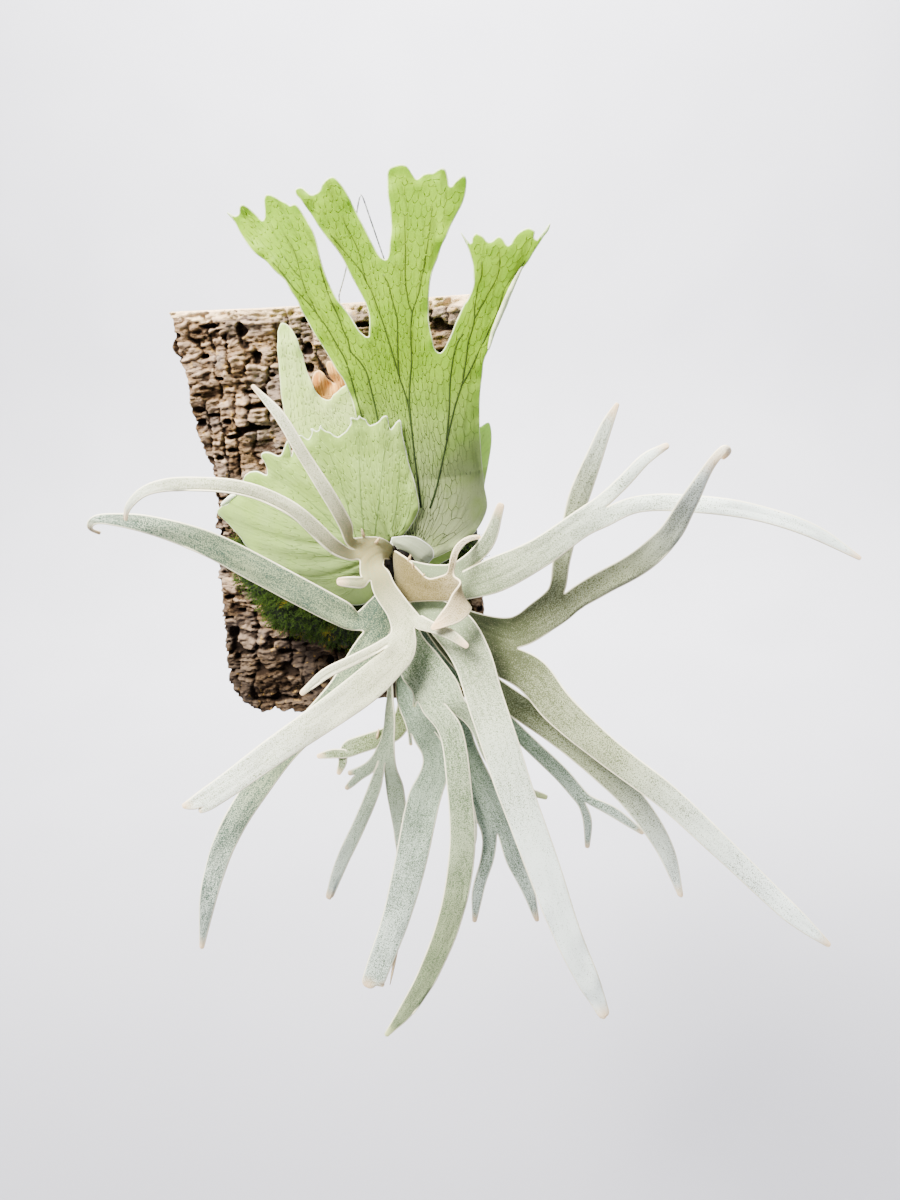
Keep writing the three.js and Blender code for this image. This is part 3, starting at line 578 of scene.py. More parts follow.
@dataclass(frozen=True)
class ShieldLeaf:
    """A living shield frond: a thin leaf with a second colour low down and a net of veins.

    Daylight passes through it, so it glows, and the veins stand out dark. On most shields the low colour
    is a waxy coat of wax and short hairs that lie thickest low down, where the newest leaf is palest. On
    the round shield it is darker than the leaf, and there it is painted shade on the lower lobes.
    """

    name: str
    leaf: str
    bright: str
    bloom_and_shade: str
    vein: str
    margin: str = "eef5c8"
    bloom_and_shade_low: float = -20.0  # height in mm where the bloom is fullest; on the round shield, the painted shade is fullest there
    bloom_and_shade_high: float = 120.0  # height in mm where it ends
    fibre_mm: float = 2.2  # the finest veins, 0.2 mm apart, drawn coarse enough to show
    cloud_mm: float = 16.0
    mottle_mm: float = 1.3
    glow: float = 0.3
    glow_colour: str = "b4e030"

    def build(self) -> bpy.types.Material:
        """Builds the material.

        Returns:
            The finished material.
        """
        s = Shader(self.name)
        margin, vein, hair = s.marks("margin", "vein", "hair")
        fibres = s.fibres(self.fibre_mm, 3, 0.07)
        cloud, mottle = s.grains((self.cloud_mm, 3), (self.mottle_mm, 3))
        height = s.add("SeparateXYZ", {"Vector": s.place})["Z"]
        # 1 low down, where the second colour lies: bloom on most shields, painted shade on the round shield
        low = s.amount((height, self.bloom_and_shade_low * MM, self.bloom_and_shade_high * MM, 1, 0))
        colour = s.coated(
            self.leaf,
            (self.bright, (cloud, 0.35, 0.65, 0.2, 0.8)),
            (self.bloom_and_shade, low, (cloud, 0.25, 0.6, 0.6, 1)),
            (self.vein, (fibres, 0.5, 0.68, 0, 0.28)),
            (self.vein, (mottle, 0.5, 0.7, 0, 0.16)),
            (self.vein, vein),
            (self.margin, (margin, 0.05, 0.75, 0.85, 0)),
            (self.margin, hair),
        )
        light = s.coated(
            self.glow_colour, (self.bloom_and_shade, low, 0.4), (self.vein, (fibres, 0.5, 0.68, 0, 0.3)), (self.vein, vein)
        )
        relief = s.total(s.amount(mottle, 0.4), s.amount(fibres, 0.6))
        return s.close(
            colour, s.amount((low, 0, 1, 0.55, 0.85)), relief, 0.35, self.glow, light,
            Specular_IOR_Level=0.2, Sheen_Weight=0.04, Sheen_Roughness=0.5, IOR=1.45,
        )


@dataclass(frozen=True)
class DryShieldLeaf:
    """An old shield frond that has dried to brown paper: thin, matt, darker along its veins."""

    name: str = "dry_papery_leaf"
    pale: str = "e4ac60"
    dark: str = "a4692c"
    edge: str = "f0cd9a"
    fibre_mm: float = 1.3
    cloud_mm: float = 14.0

    def build(self) -> bpy.types.Material:
        """Builds the material.

        Returns:
            The finished material.
        """
        s = Shader(self.name)
        fibres, (cloud,), (margin,) = s.fibres(self.fibre_mm, 3, 0.12), s.grains((self.cloud_mm, 2)), s.marks("margin")
        tone = s.total(s.amount(fibres, 0.6), s.amount(cloud, 0.4))
        colour = s.coated(self.dark, (self.pale, (tone, 0.38, 0.62)), (self.edge, (margin, 0.2, 1.2, 0.5, 0)))
        return s.close(colour, 0.85, fibres, 0.4, 0.15, colour, Specular_IOR_Level=0.2)


@dataclass(frozen=True)
class CorkBark:
    """Raw cork oak bark: crumbly ridges bleached by the weather over dark crevices, sawn at the top.

    The sawn edge shows clean pale cork with dark pores, and lichen dusts the ridges in ochre.
    """

    name: str = "raw_cork_bark"
    crevice: str = "140c08"
    shade: str = "3c2c1f"
    ridge: str = "80664b"
    crest: str = "ae947c"
    grey: str = "8a7e78"
    fresh: str = "c9ab8e"
    fern_shadow: str = "1c130c"  # painted shadow low down, where the fern shades it
    fern_shadow_mm: tuple[float, float] = (-125.0, -30.0)  # heights where that is full and where it ends
    sawn: str = "f6d6ac"
    lichen: str = "c49a4c"
    crumb_mm: float = 0.8
    lamina_mm: float = 1.3
    stain_mm: float = 26.0
    fleck_mm: float = 5.5
    pore_mm: float = 1.3

    def build(self) -> bpy.types.Material:
        """Builds the material.

        Returns:
            The finished material.
        """
        s = Shader(self.name)
        relief, sawn, slab = s.marks("relief", "sawn", "slab")
        sizes = ((self.crumb_mm, 4), (self.stain_mm, 3), (self.fleck_mm, 3), (self.pore_mm, 2))
        crumbs, stains, flecks, pores = s.grains(*sizes)
        level = s.total(relief, s.amount(crumbs, 0.35), -0.175)
        # darker with depth into the bark: partly the darker cork in the fissures, partly painted shade in them
        stops = [(0.16, self.crevice), (0.42, self.shade), (0.68, self.ridge), (0.98, self.crest)]
        tone = s.add("ValToRGB", {"Fac": level}, stops=stops)["Color"]
        place = s.add("SeparateXYZ", {"Vector": s.place})
        flat = s.add("CombineXYZ", {"X": s.amount(place["X"], 0.2), "Y": place["Y"], "Z": place["Z"]})[0]
        inputs = {"Vector": flat, "Scale": per_metre(self.lamina_mm), "Detail": 3.0, "Distortion": 0.6}
        laminae = s.add("TexNoise", inputs)["Fac"]
        cut = s.coated(self.sawn, (self.shade, (pores, 0.62, 0.7), 0.6), (self.ridge, (stains, 0.4, 0.6, 0, 0.3)))
        low, high = (height * MM for height in self.fern_shadow_mm)
        colour = s.coated(
            tone,
            (self.crevice, (laminae, 0.34, 0.47, 0.75, 0)),
            (self.grey, (stains, 0.45, 0.62), (level, 0.3, 0.6, 0, 0.5)),
            (self.shade, (slab, 0.1, 0.5, 0.45, 0)),
            (self.fresh, (slab, 0.55, 0.85), (level, 0.4, 0.8, 0, 0.6)),
            # painted shadow of the fern over the lower bark
            (self.fern_shadow, (place["Z"], low, high, 0.8, 0)),
            (self.lichen, (flecks, 0.6, 0.72), (level, 0.45, 0.7, 0, 0.6)),
            (cut, sawn),
        )
        return s.close(colour, 0.95, s.total(crumbs, s.amount(laminae, 1.2)), 1.0, Specular_IOR_Level=0.1)


@dataclass(frozen=True)
class CushionMoss:
    """Living moss: crowded shoots, bright and yellowish at their tips, with near-black painted shade low down between
    them.
    """

    name: str = "living_moss"
    # painted shade, near black, low on each shoot and over the mound between them
    deep: str = "060a03"
    green: str = "1b2e0b"
    fresh: str = "4a661a"
    yellow: str = "b89c1c"
    clump_mm: float = 13.0
    speck_mm: float = 1.6

    def build(self) -> bpy.types.Material:
        """Builds the material.

        Returns:
            The finished material.
        """
        s = Shader(self.name)
        (tip,), (clumps, specks) = s.marks("tip"), s.grains((self.clump_mm, 2), (self.speck_mm, 2))
        colour = s.coated(
            self.green,
            (self.fresh, (specks, 0.35, 0.65, 0, 0.5)),
            (self.fresh, (tip, 0.2, 1, 0, 0.75)),
            (self.yellow, (clumps, 0.6, 0.72, 0, 0.55)),
            # painted shade: the deep colour low on each shoot
            (self.deep, (tip, 0, 0.35, 1, 0)),
        )
        return s.close(colour, 0.8, glow=0.15, light=colour, Specular_IOR_Level=0.25)


@dataclass(frozen=True)
class ScaledRhizome:
    """A fern's creeping stem, packed in narrow black-brown scales that shine a little along their keels."""

    name: str = "scaly_rhizome"
    dark: str = "050302"
    brown: str = "130b07"
    keel: str = "22150f"
    grain_mm: float = 0.9

    def build(self) -> bpy.types.Material:
        """Builds the material.

        Returns:
            The finished material.
        """
        s = Shader(self.name)
        (tip,), (grain,) = s.marks("tip"), s.grains((self.grain_mm, 3))
        colour = s.coated(self.dark, (self.brown, (grain, 0.4, 0.7)), (self.keel, tip, 0.35))
        return s.close(colour, s.amount((grain, 0.3, 0.7, 0.6, 0.85)), grain, 0.3, Specular_IOR_Level=0.15)


@dataclass(frozen=True)
class GalvanisedWire:
    """Drawn steel wire, galvanised: dull grey zinc with faint bright and dull spangles."""

    name: str = "galvanised_wire"
    bright: str = "b9bbbc"
    dull: str = "85888a"
    spangle_mm: float = 2.0

    def build(self) -> bpy.types.Material:
        """Builds the material.

        Returns:
            The finished material.
        """
        s = Shader(self.name)
        (spangle,) = s.grains((self.spangle_mm, 2))
        colour = s.coated(self.dull, (self.bright, (spangle, 0.4, 0.6)))
        return s.close(colour, s.amount((spangle, 0.3, 0.7, 0.32, 0.5)), spangle, 0.05, Metallic=1.0)


@dataclass(frozen=True)
class StudioPaper:
    """Seamless background paper: matt, pale, with a faint lilac cast."""

    name: str = "seamless_paper"
    colour: str = "e4e4ec"
    # painted shade: the paper darkens towards the camera, as if less light reached it there
    front: str = "787881"
    cloud_mm: float = 300.0

    def build(self) -> bpy.types.Material:
        """Builds the material.

        Returns:
            The finished material.
        """
        s = Shader(self.name)
        depth, (cloud,) = s.add("SeparateXYZ", {"Vector": s.place})["Y"], s.grains((self.cloud_mm, 1))
        # painted shade on the paper, full at the front and gone 2.3 m back
        tone = s.coated(self.colour, (self.front, (depth, -0.5, 2.3, 1, 0)), (self.front, (cloud, 0.3, 0.7, 0, 0.06)))
        return s.close(tone, 0.95, Specular_IOR_Level=0.1)


class Felt(Enum):
    """The felts of the fertile frond: how old each blade is and how much felt it has lost. SHADED_OLIVE
    and SHADED are darker copies for the fronds that lie in shade, which is painted shade.
    """

    # its darker base felt is painted shade round the hub
    CREAM = FeltedLeaf(
        "cream_felted_leaf", "b2b296", "7c8462", base_felt_and_shade="84784e", bare=0.5, shade="968e6c", outer_felt_share=0.6, base_mm=80,
    )
    # its pale cream outer felt is a painted highlight where the curled blade faces the light, and its lower-face
    # painted shade is kept pale
    TAN = FeltedLeaf(
        "tan_felted_leaf", "80724a", "625832", bare=0.6, shade="948460", tip="d8b68a", margin="ead9b4",
        outer_felt_and_highlight="fff2da", outer_felt_share=1.0, outer_felt_mm=15,
    )
    # its darker, barer base is painted shade round the hub
    WHITE = FeltedLeaf(
        "white_felted_leaf", "acb49c", "667356", base_felt_and_shade="999e80", bare=0.55, base_bare_and_shade=0.22, base_mm=120, outer_felt_share=0.9,
        tip_bare=-0.1,
    )
    WORN = FeltedLeaf(
        "worn_felted_leaf", "a0ac90", "4c5e40", bare=0.65, tip="c4cc90", outer_felt_and_highlight="828c6a", outer_felt_share=1.0, outer_felt_mm=90,
    )
    MINT = FeltedLeaf("mint_felted_leaf", "8f9f8a", "4e604c", bare=0.7, outer_felt_and_highlight="dae6e0", outer_felt_share=0.7)
    DUSTY = FeltedLeaf("dusty_felted_leaf", "8a9672", "3c5044", bare=0.75, outer_felt_share=0.6, outer_felt_mm=120)
    PALE = FeltedLeaf("pale_stemmed_leaf", "9caa90", "56694e", base_felt_and_shade="bcb88e", bare=0.5, base_mm=85)
    # a darker copy of the felt for the fronds right of the hub, which is painted shade, darkest near the base
    SHADED_OLIVE = FeltedLeaf(
        "shaded_olive_felted_leaf", "8a9074", "484f34", base_felt_and_shade="6e7052", bare=0.7, base_bare_and_shade=0.2, base_mm=150, outer_felt_share=0.9,
        outer_felt_mm=150, tip_bare=-0.08,
    )
    SHADED = FeltedLeaf("shaded_felted_leaf", "8c9770", "46552f", bare=0.75)


# ---- Blades ----


@dataclass(frozen=True)
class Blade:
    """A strap or lobe, and the arms that it forks into.

    Rows are [x, y, z, width, roll in degrees] in mm, or [x, z, width] where the blade lies on a shield's
    layer. Arms are listed from the left to the right of one who looks along the blade as it grows.
    """

    rows: list[list[float]]
    arms: list["Blade"] = field(default_factory=list)
    columns: int = 2
    side: Optional[list[float]] = None
    heading: Optional[list[float]] = None
    bow: float = 0.12  # how far the middle of a fork's row runs ahead, as a share of its width

    def widths(self) -> list[float]:
        """Returns the width of each row."""
        return [row[2] if len(row) == 3 else row[3] for row in self.rows]

    def spread(self) -> int:
        """Returns how many columns of quads cross the blade."""
        return sum(arm.spread() for arm in self.arms) if self.arms else 2 * self.columns

    def shares(self) -> list[float]:
        """Spreads a row's points across the blade.

        Returns:
            Their places, from 0 to 1.
        """
        if not self.arms:
            return [i / self.spread() for i in range(self.spread() + 1)]
        widths = [arm.widths()[0] for arm in self.arms]
        places, begin = [0.0], 0.0
        for arm, width in zip(self.arms, widths):
            places += [begin + share * width / sum(widths) for share in arm.shares()[1:]]
            begin += width / sum(widths)
        return places


@dataclass(frozen=True)
class Start:
    """The row of a parent blade that an arm begins on."""

    indices: list[int]
    at: Vector
    width: float
    roll: float
    way: Vector
    run: float
    drift: float


@dataclass
class Growth:
    """Grows blades into one sheet of quads, with the place of each point across and along its strap."""

    crown: float = 0.035  # height of the arch across a strap, as a share of its width
    row_length: float = 5.0
    crotch: float = 2.2  # how fast the arms part at a fork; more makes it rounder
    face: Vector = Vector((0, -0.94, 0.34))  # the way the upper faces look
    points: list[Vector] = field(default_factory=list)
    grain: list[tuple[float, float]] = field(default_factory=list)
    quads: list[list[int]] = field(default_factory=list)
    tips: list[tuple[Vector, float]] = field(default_factory=list)  # each tip's place and its arm's width

    TIP_CAP = ((0.22, 0.8), (0.36, 0.42))  # how far beyond its last row a tip reaches, and how wide it is

    def ways(self, places: list[Vector], blade: Blade, start: Optional[Start]) -> list[Vector]:
        """Finds the direction of growth.

        Args:
            places: The middles of the rows.
            blade: The blade that they cross.
            start: The parent's row that it begins on, or None.

        Returns:
            The direction at each row.
        """
        beyond = places[-1]
        if blade.arms:
            firsts = [self.place(arm.rows[0]) for arm in blade.arms]
            beyond = sum(firsts, Vector()) / len(firsts)
        found = []
        for i, place in enumerate(places):
            before = places[max(i - 1, 0)]
            after = places[i + 1] if i + 1 < len(places) else beyond
            way = (after - before).normalized()
            if i == 0 and start:
                way = ((places[1] - place).normalized() + start.way).normalized()
            elif i == len(places) - 1 and blade.heading:
                way = Vector(blade.heading).normalized()
            found.append(way)
        return found

    @staticmethod
    def place(row: Sequence[float]) -> Vector:
        """Returns a row's middle; a shield's row lies in the plane y = 0 until it is bent."""
        return Vector((row[0], 0, row[1])) if len(row) == 3 else Vector(row[:3])

    def lay_row(
        self, blade: Blade, shares: list[float], at: Vector, way: Vector, size: tuple[float, float, float],
        grain: tuple[float, float],
    ) -> list[int]:
        """Adds one row of points.

        Args:
            blade: The blade.
            shares: The points' places across it.
            at: The row's middle.
            way: The direction of growth.
            size: The row's width, its roll and how far its middle runs ahead.
            grain: How far the strap has drifted sideways and grown.

        Returns:
            The points' indices.
        """
        width, roll, ahead = size
        if blade.side:
            side = Vector(blade.side) - way * way.dot(Vector(blade.side))
        else:
            side = way.cross(self.face)
        side.normalize()
        side.rotate(Quaternion(way, math.radians(roll)))
        normal = side.cross(way)
        indices = []
        for share in shares:
            across = 2 * share - 1
            arch = width * (1 - across * across)
            point = at + side * (across * width / 2) + normal * (self.crown * arch) + way * (ahead * arch)
            self.points.append(point)
            self.grain.append((grain[0] + across * width / 2, grain[1]))
            indices.append(len(self.points) - 1)
        return indices

    def join(self, last: list[int], row: list[int]) -> None:
        """Joins two rows with quads."""
        for i in range(len(row) - 1):
            self.quads.append([last[i], last[i + 1], row[i + 1], row[i]])

    def grow(self, blade: Blade, start: Optional[Start] = None) -> "Growth":
        """Grows a blade and then its arms.

        Args:
            blade: What to grow.
            start: The parent's row that it begins on, or None.

        Returns:
            This growth.
        """
        places = [self.place(row) for row in blade.rows]
        widths = blade.widths()
        rolls = [row[4] if len(row) > 4 else 0.0 for row in blade.rows]
        if start:
            places.insert(0, start.at)
            widths.insert(0, start.width)
            rolls.insert(0, start.roll)
        ways = self.ways(places, blade, start)
        lengths = [(b - a).length for a, b in zip(places, places[1:])]
        runs = np.concatenate([[0.0], np.cumsum(lengths)]) + (start.run if start else 0.0)
        slopes = level_slopes(widths, runs)
        if start and slopes[0] < 0:
            slopes[0] *= self.crotch
        shares, drift = blade.shares(), start.drift if start else 0.0
        first = (widths[0], rolls[0], 0.0)
        last = start.indices if start else self.lay_row(blade, shares, places[0], ways[0], first, (drift, 0.0))
        for i, length in enumerate(lengths):
            final = i + 1 == len(lengths)
            steps = max(1, round(length / self.row_length))
            for t in np.arange(1, steps + 1) / steps:
                hump, rest = t * t * (3 - 2 * t), t * (1 - t)
                at = places[i].lerp(places[i + 1], hump)
                at = at + (ways[i] * (1 - t) - ways[i + 1] * t) * (rest * length)
                width = widths[i] * (1 - hump) + widths[i + 1] * hump
                width += (slopes[i] * (1 - t) - slopes[i + 1] * t) * rest * length
                way = ways[i].lerp(ways[i + 1], t).normalized()
                roll = rolls[i] + (rolls[i + 1] - rolls[i]) * t
                ahead = blade.bow * t * t if final and blade.arms else 0.0
                run = runs[i] + t * length
                row = self.lay_row(blade, shares, at, way, (max(width, 1.0), roll, ahead), (drift, run))
                self.join(last, row)
                last = row
        if not blade.arms:
            self.cap(blade, shares, last, places[-1], ways[-1], (widths[-1], rolls[-1]), (drift, runs[-1]))
            return self
        first_column = 0
        for arm in blade.arms:
            indices = last[first_column : first_column + arm.spread() + 1]
            left, right = self.points[indices[0]], self.points[indices[-1]]
            middle = (shares[first_column] + shares[first_column + arm.spread()]) / 2
            shift = drift + (middle - 0.5) * widths[-1]
            at, width = (left + right) / 2, (left - right).length
            self.grow(arm, Start(indices, at, width, rolls[-1], ways[-1], runs[-1], shift))
            first_column += arm.spread()
        return self

    def cap(
        self, blade: Blade, shares: list[float], last: list[int], at: Vector, way: Vector,
        size: tuple[float, float], grain: tuple[float, float],
    ) -> None:
        """Rounds a tip off beyond its last row.

        Args:
            blade: The blade.
            shares: The points' places across it.
            last: The points of the last row.
            at: The last row's middle.
            way: The direction of growth there.
            size: The last row's width and roll.
            grain: How far the strap has drifted sideways and grown.
        """
        width, roll = size
        for ahead, narrow in self.TIP_CAP:
            place = at + way * (ahead * width)
            row = self.lay_row(blade, shares, place, way, (narrow * width, roll, 0.0), grain)
            self.join(last, row)
            last = row
        self.tips.append((at + way * (self.TIP_CAP[-1][0] * width), max(blade.widths())))


class Leaf:
    """A fine leaf surface: its middle points in mm, its faces, and where each point lies on it."""

    def __init__(self, points: Array, faces: Array, across: Array, run: Array) -> None:
        """Takes the surface and finds its margin.

        Args:
            points: The points in mm.
            faces: Quads or triangles.
            across: How far to the side of the growth each point lies.
            run: How far along the growth.
        """
        self.points, self.faces, self.across, self.run = points, faces, across, run
        starts = faces.reshape(-1)
        ends = np.roll(faces, -1, axis=1).reshape(-1)
        lone = ~np.isin(starts * len(points) + ends, ends * len(points) + starts)
        self.rim = np.stack([starts[lone], ends[lone]], 1)
        self.margin = np.zeros(len(points))
        self.measure()

    @classmethod
    def grown(cls, growth: Growth, levels: int) -> "Leaf":
        """Makes a leaf from a growth, smoothed by a subdivision surface.

        Args:
            growth: The coarse sheet.
            levels: How many times its quads are divided.

        Returns:
            The leaf.
        """
        mesh = bpy.data.meshes.new("sheet")
        mesh.from_pydata(growth.points, [], growth.quads)
        for name, values in zip(("across", "run"), zip(*growth.grain)):
            mesh.attributes.new(name, "FLOAT", "POINT").data.foreach_set("value", values)
        holder = put("sheet", mesh)
        holder.modifiers.new("smooth", "SUBSURF").levels = levels
        smooth = holder.evaluated_get(bpy.context.evaluated_depsgraph_get()).to_mesh()
        points = np.empty(3 * len(smooth.vertices))
        smooth.vertices.foreach_get("co", points)
        quads = np.empty(4 * len(smooth.polygons), np.int64)
        smooth.polygons.foreach_get("vertices", quads)
        marks = []
        for name in ("across", "run"):
            values = np.empty(len(smooth.vertices))
            smooth.attributes[name].data.foreach_get("value", values)
            marks.append(values)
        bpy.data.objects.remove(holder)
        bpy.data.meshes.remove(mesh)
        return cls(points.reshape(-1, 3), quads.reshape(-1, 4), *marks)

    @classmethod
    def cut(cls, outline: Array, spacing: float) -> "Leaf":
        """Cuts a flat leaf out along an outline.

        Args:
            outline: An (n, 2) array of the x and z of its margin, anticlockwise or clockwise.
            spacing: How far apart its inner points are, in mm.

        Returns:
            The leaf, in triangles that face -Y.
        """
        low, high = outline.min(0), outline.max(0)
        rows = np.arange(low[1], high[1], spacing * math.sqrt(0.75))
        columns = np.arange(low[0], high[0], spacing)
        inner = np.array([(x + (i % 2) * spacing / 2, z) for i, z in enumerate(rows) for x in columns])
        inner = inner[inside(outline, inner[:, 0], inner[:, 1])]
        tree = lookup([(*place, 0) for place in outline])
        clear = np.array([tree.find((*place, 0))[2] for place in inner]) > 0.6 * spacing
        flat = np.vstack([outline, inner[clear]])
        around = list(range(len(outline)))
        places, _, triangles, *_ = delaunay_2d_cdt([Vector(p) for p in flat], [], [around], 1, 1e-5)
        places = np.array([list(p) for p in places])
        triangles = np.array(triangles)
        a, b, c = (places[triangles[:, i]] for i in range(3))
        area = (b[:, 0] - a[:, 0]) * (c[:, 1] - a[:, 1]) - (b[:, 1] - a[:, 1]) * (c[:, 0] - a[:, 0])
        triangles[area < 0] = triangles[area < 0][:, ::-1]
        zeros = np.zeros(len(places))
        return cls(np.stack([places[:, 0], zeros, places[:, 1]], 1), triangles, zeros, zeros.copy())

    def measure(self) -> None:
        """Measures each point's distance to the margin, in mm."""
        begin, end = self.points[self.rim[:, 0]], self.points[self.rim[:, 1]]
        tree = lookup(np.vstack([begin + (end - begin) * t for t in (0, 0.25, 0.5, 0.75)]))
        self.margin = np.array([tree.find(place)[2] for place in self.points])
        self.margin[self.rim[:, 0]] = 0

    def normals(self) -> Array:
        """Finds the normals at the points, weighted by area.

        Returns:
            An (n, 3) array of unit vectors.
        """
        a, b, c, d = (self.points[self.faces[:, i]] for i in (0, 1, 2, -1))
        flat = np.cross(c - a, d - b)
        total = np.zeros_like(self.points)
        for corner in self.faces.T:
            np.add.at(total, corner, flat)
        return unit(total)

    def near_tips(self, tips: Sequence[tuple[Vector, float]], reach: float) -> Array:
        """Finds the points near the tips.

        Args:
            tips: Each tip's place and its arm's width.
            reach: How far from a tip they lie, in mm, or less on a narrow arm.

        Returns:
            1 at the tips, falling to 0 there.
        """
        near = np.zeros(len(self.points))
        for tip, width in tips:
            apart = np.linalg.norm(self.points - np.array(tip), axis=1)
            near = np.maximum(near, 1 - smoothstep(0, min(reach, 1.3 * width), apart))
        return near

    def shell(self, fabric: Fabric, thickness: float, edge: float, taper: float, **marks: Array) -> None:
        """Gives the leaf its thickness, thinner towards a rounded margin.

        Args:
            fabric: The mesh that it is added to.
            thickness: Its full thickness in mm.
            edge: The share of that which is left at the margin.
            taper: How far in from the margin it is full, in mm.
            marks: More numbers on its points.
        """
        normals = self.normals()
        full = thickness * (edge + (1 - edge) * smoothstep(0, taper, self.margin))
        upper = self.points + normals * (full / 2)[:, None]
        lower = self.points - normals * (full / 2)[:, None]
        begin, end = self.rim[:, 0], self.rim[:, 1]
        outward = np.zeros_like(self.points)
        away = unit(np.cross(self.points[end] - self.points[begin], normals[begin]))
        np.add.at(outward, begin, away)
        np.add.at(outward, end, away)
        middle = self.points[begin] + unit(outward[begin]) * (0.32 * thickness * edge)
        n = len(self.points)
        number = np.zeros(n, int)
        number[begin] = np.arange(len(begin))
        faces = self.faces.tolist() + (self.faces[:, ::-1] + n).tolist()
        for a, b in self.rim.tolist():
            mid_a, mid_b = 2 * n + int(number[a]), 2 * n + int(number[b])
            faces.append([b, a, mid_a, mid_b])
            faces.append([mid_b, mid_a, a + n, b + n])
        whole = {"across": self.across, "run": self.run, "margin": self.margin, **marks}
        layers = {name: np.concatenate([v, v, v[begin]]) for name, v in whole.items()}
        side = np.concatenate([np.ones(n), np.zeros(n), np.full(len(begin), 0.5)])
        fabric.add(np.vstack([upper, lower, middle]), faces, upper=side, **layers)

    def fringe(self, fabric: Fabric, rng: np.random.Generator, per_mm: float, length: float) -> None:
        """Grows short hairs along the margin.

        Args:
            fabric: The mesh that they are added to.
            rng: Seeded random numbers.
            per_mm: How many hairs each mm carries.
            length: The longest hair in mm.
        """
        begin, end = self.points[self.rim[:, 0]], self.points[self.rim[:, 1]]
        normals = self.normals()[self.rim[:, 0]]
        sizes = np.linalg.norm(end - begin, axis=1)
        pick = rng.choice(len(sizes), round(float(sizes.sum()) * per_mm), p=sizes / sizes.sum())
        t = rng.random((len(pick), 1))
        bases = begin[pick] * (1 - t) + end[pick] * t
        outward = unit(np.cross(end - begin, normals))[pick]
        ways = unit(outward + rng.normal(0, 0.45, bases.shape) + normals[pick] * rng.normal(0, 0.35, (len(pick), 1)))
        points, faces = cones(bases, ways, length * rng.uniform(0.45, 1, len(pick)), 0.05)
        fabric.add(points, faces, hair=1.0, upper=1.0)


# ---- Outlines of the blades ----

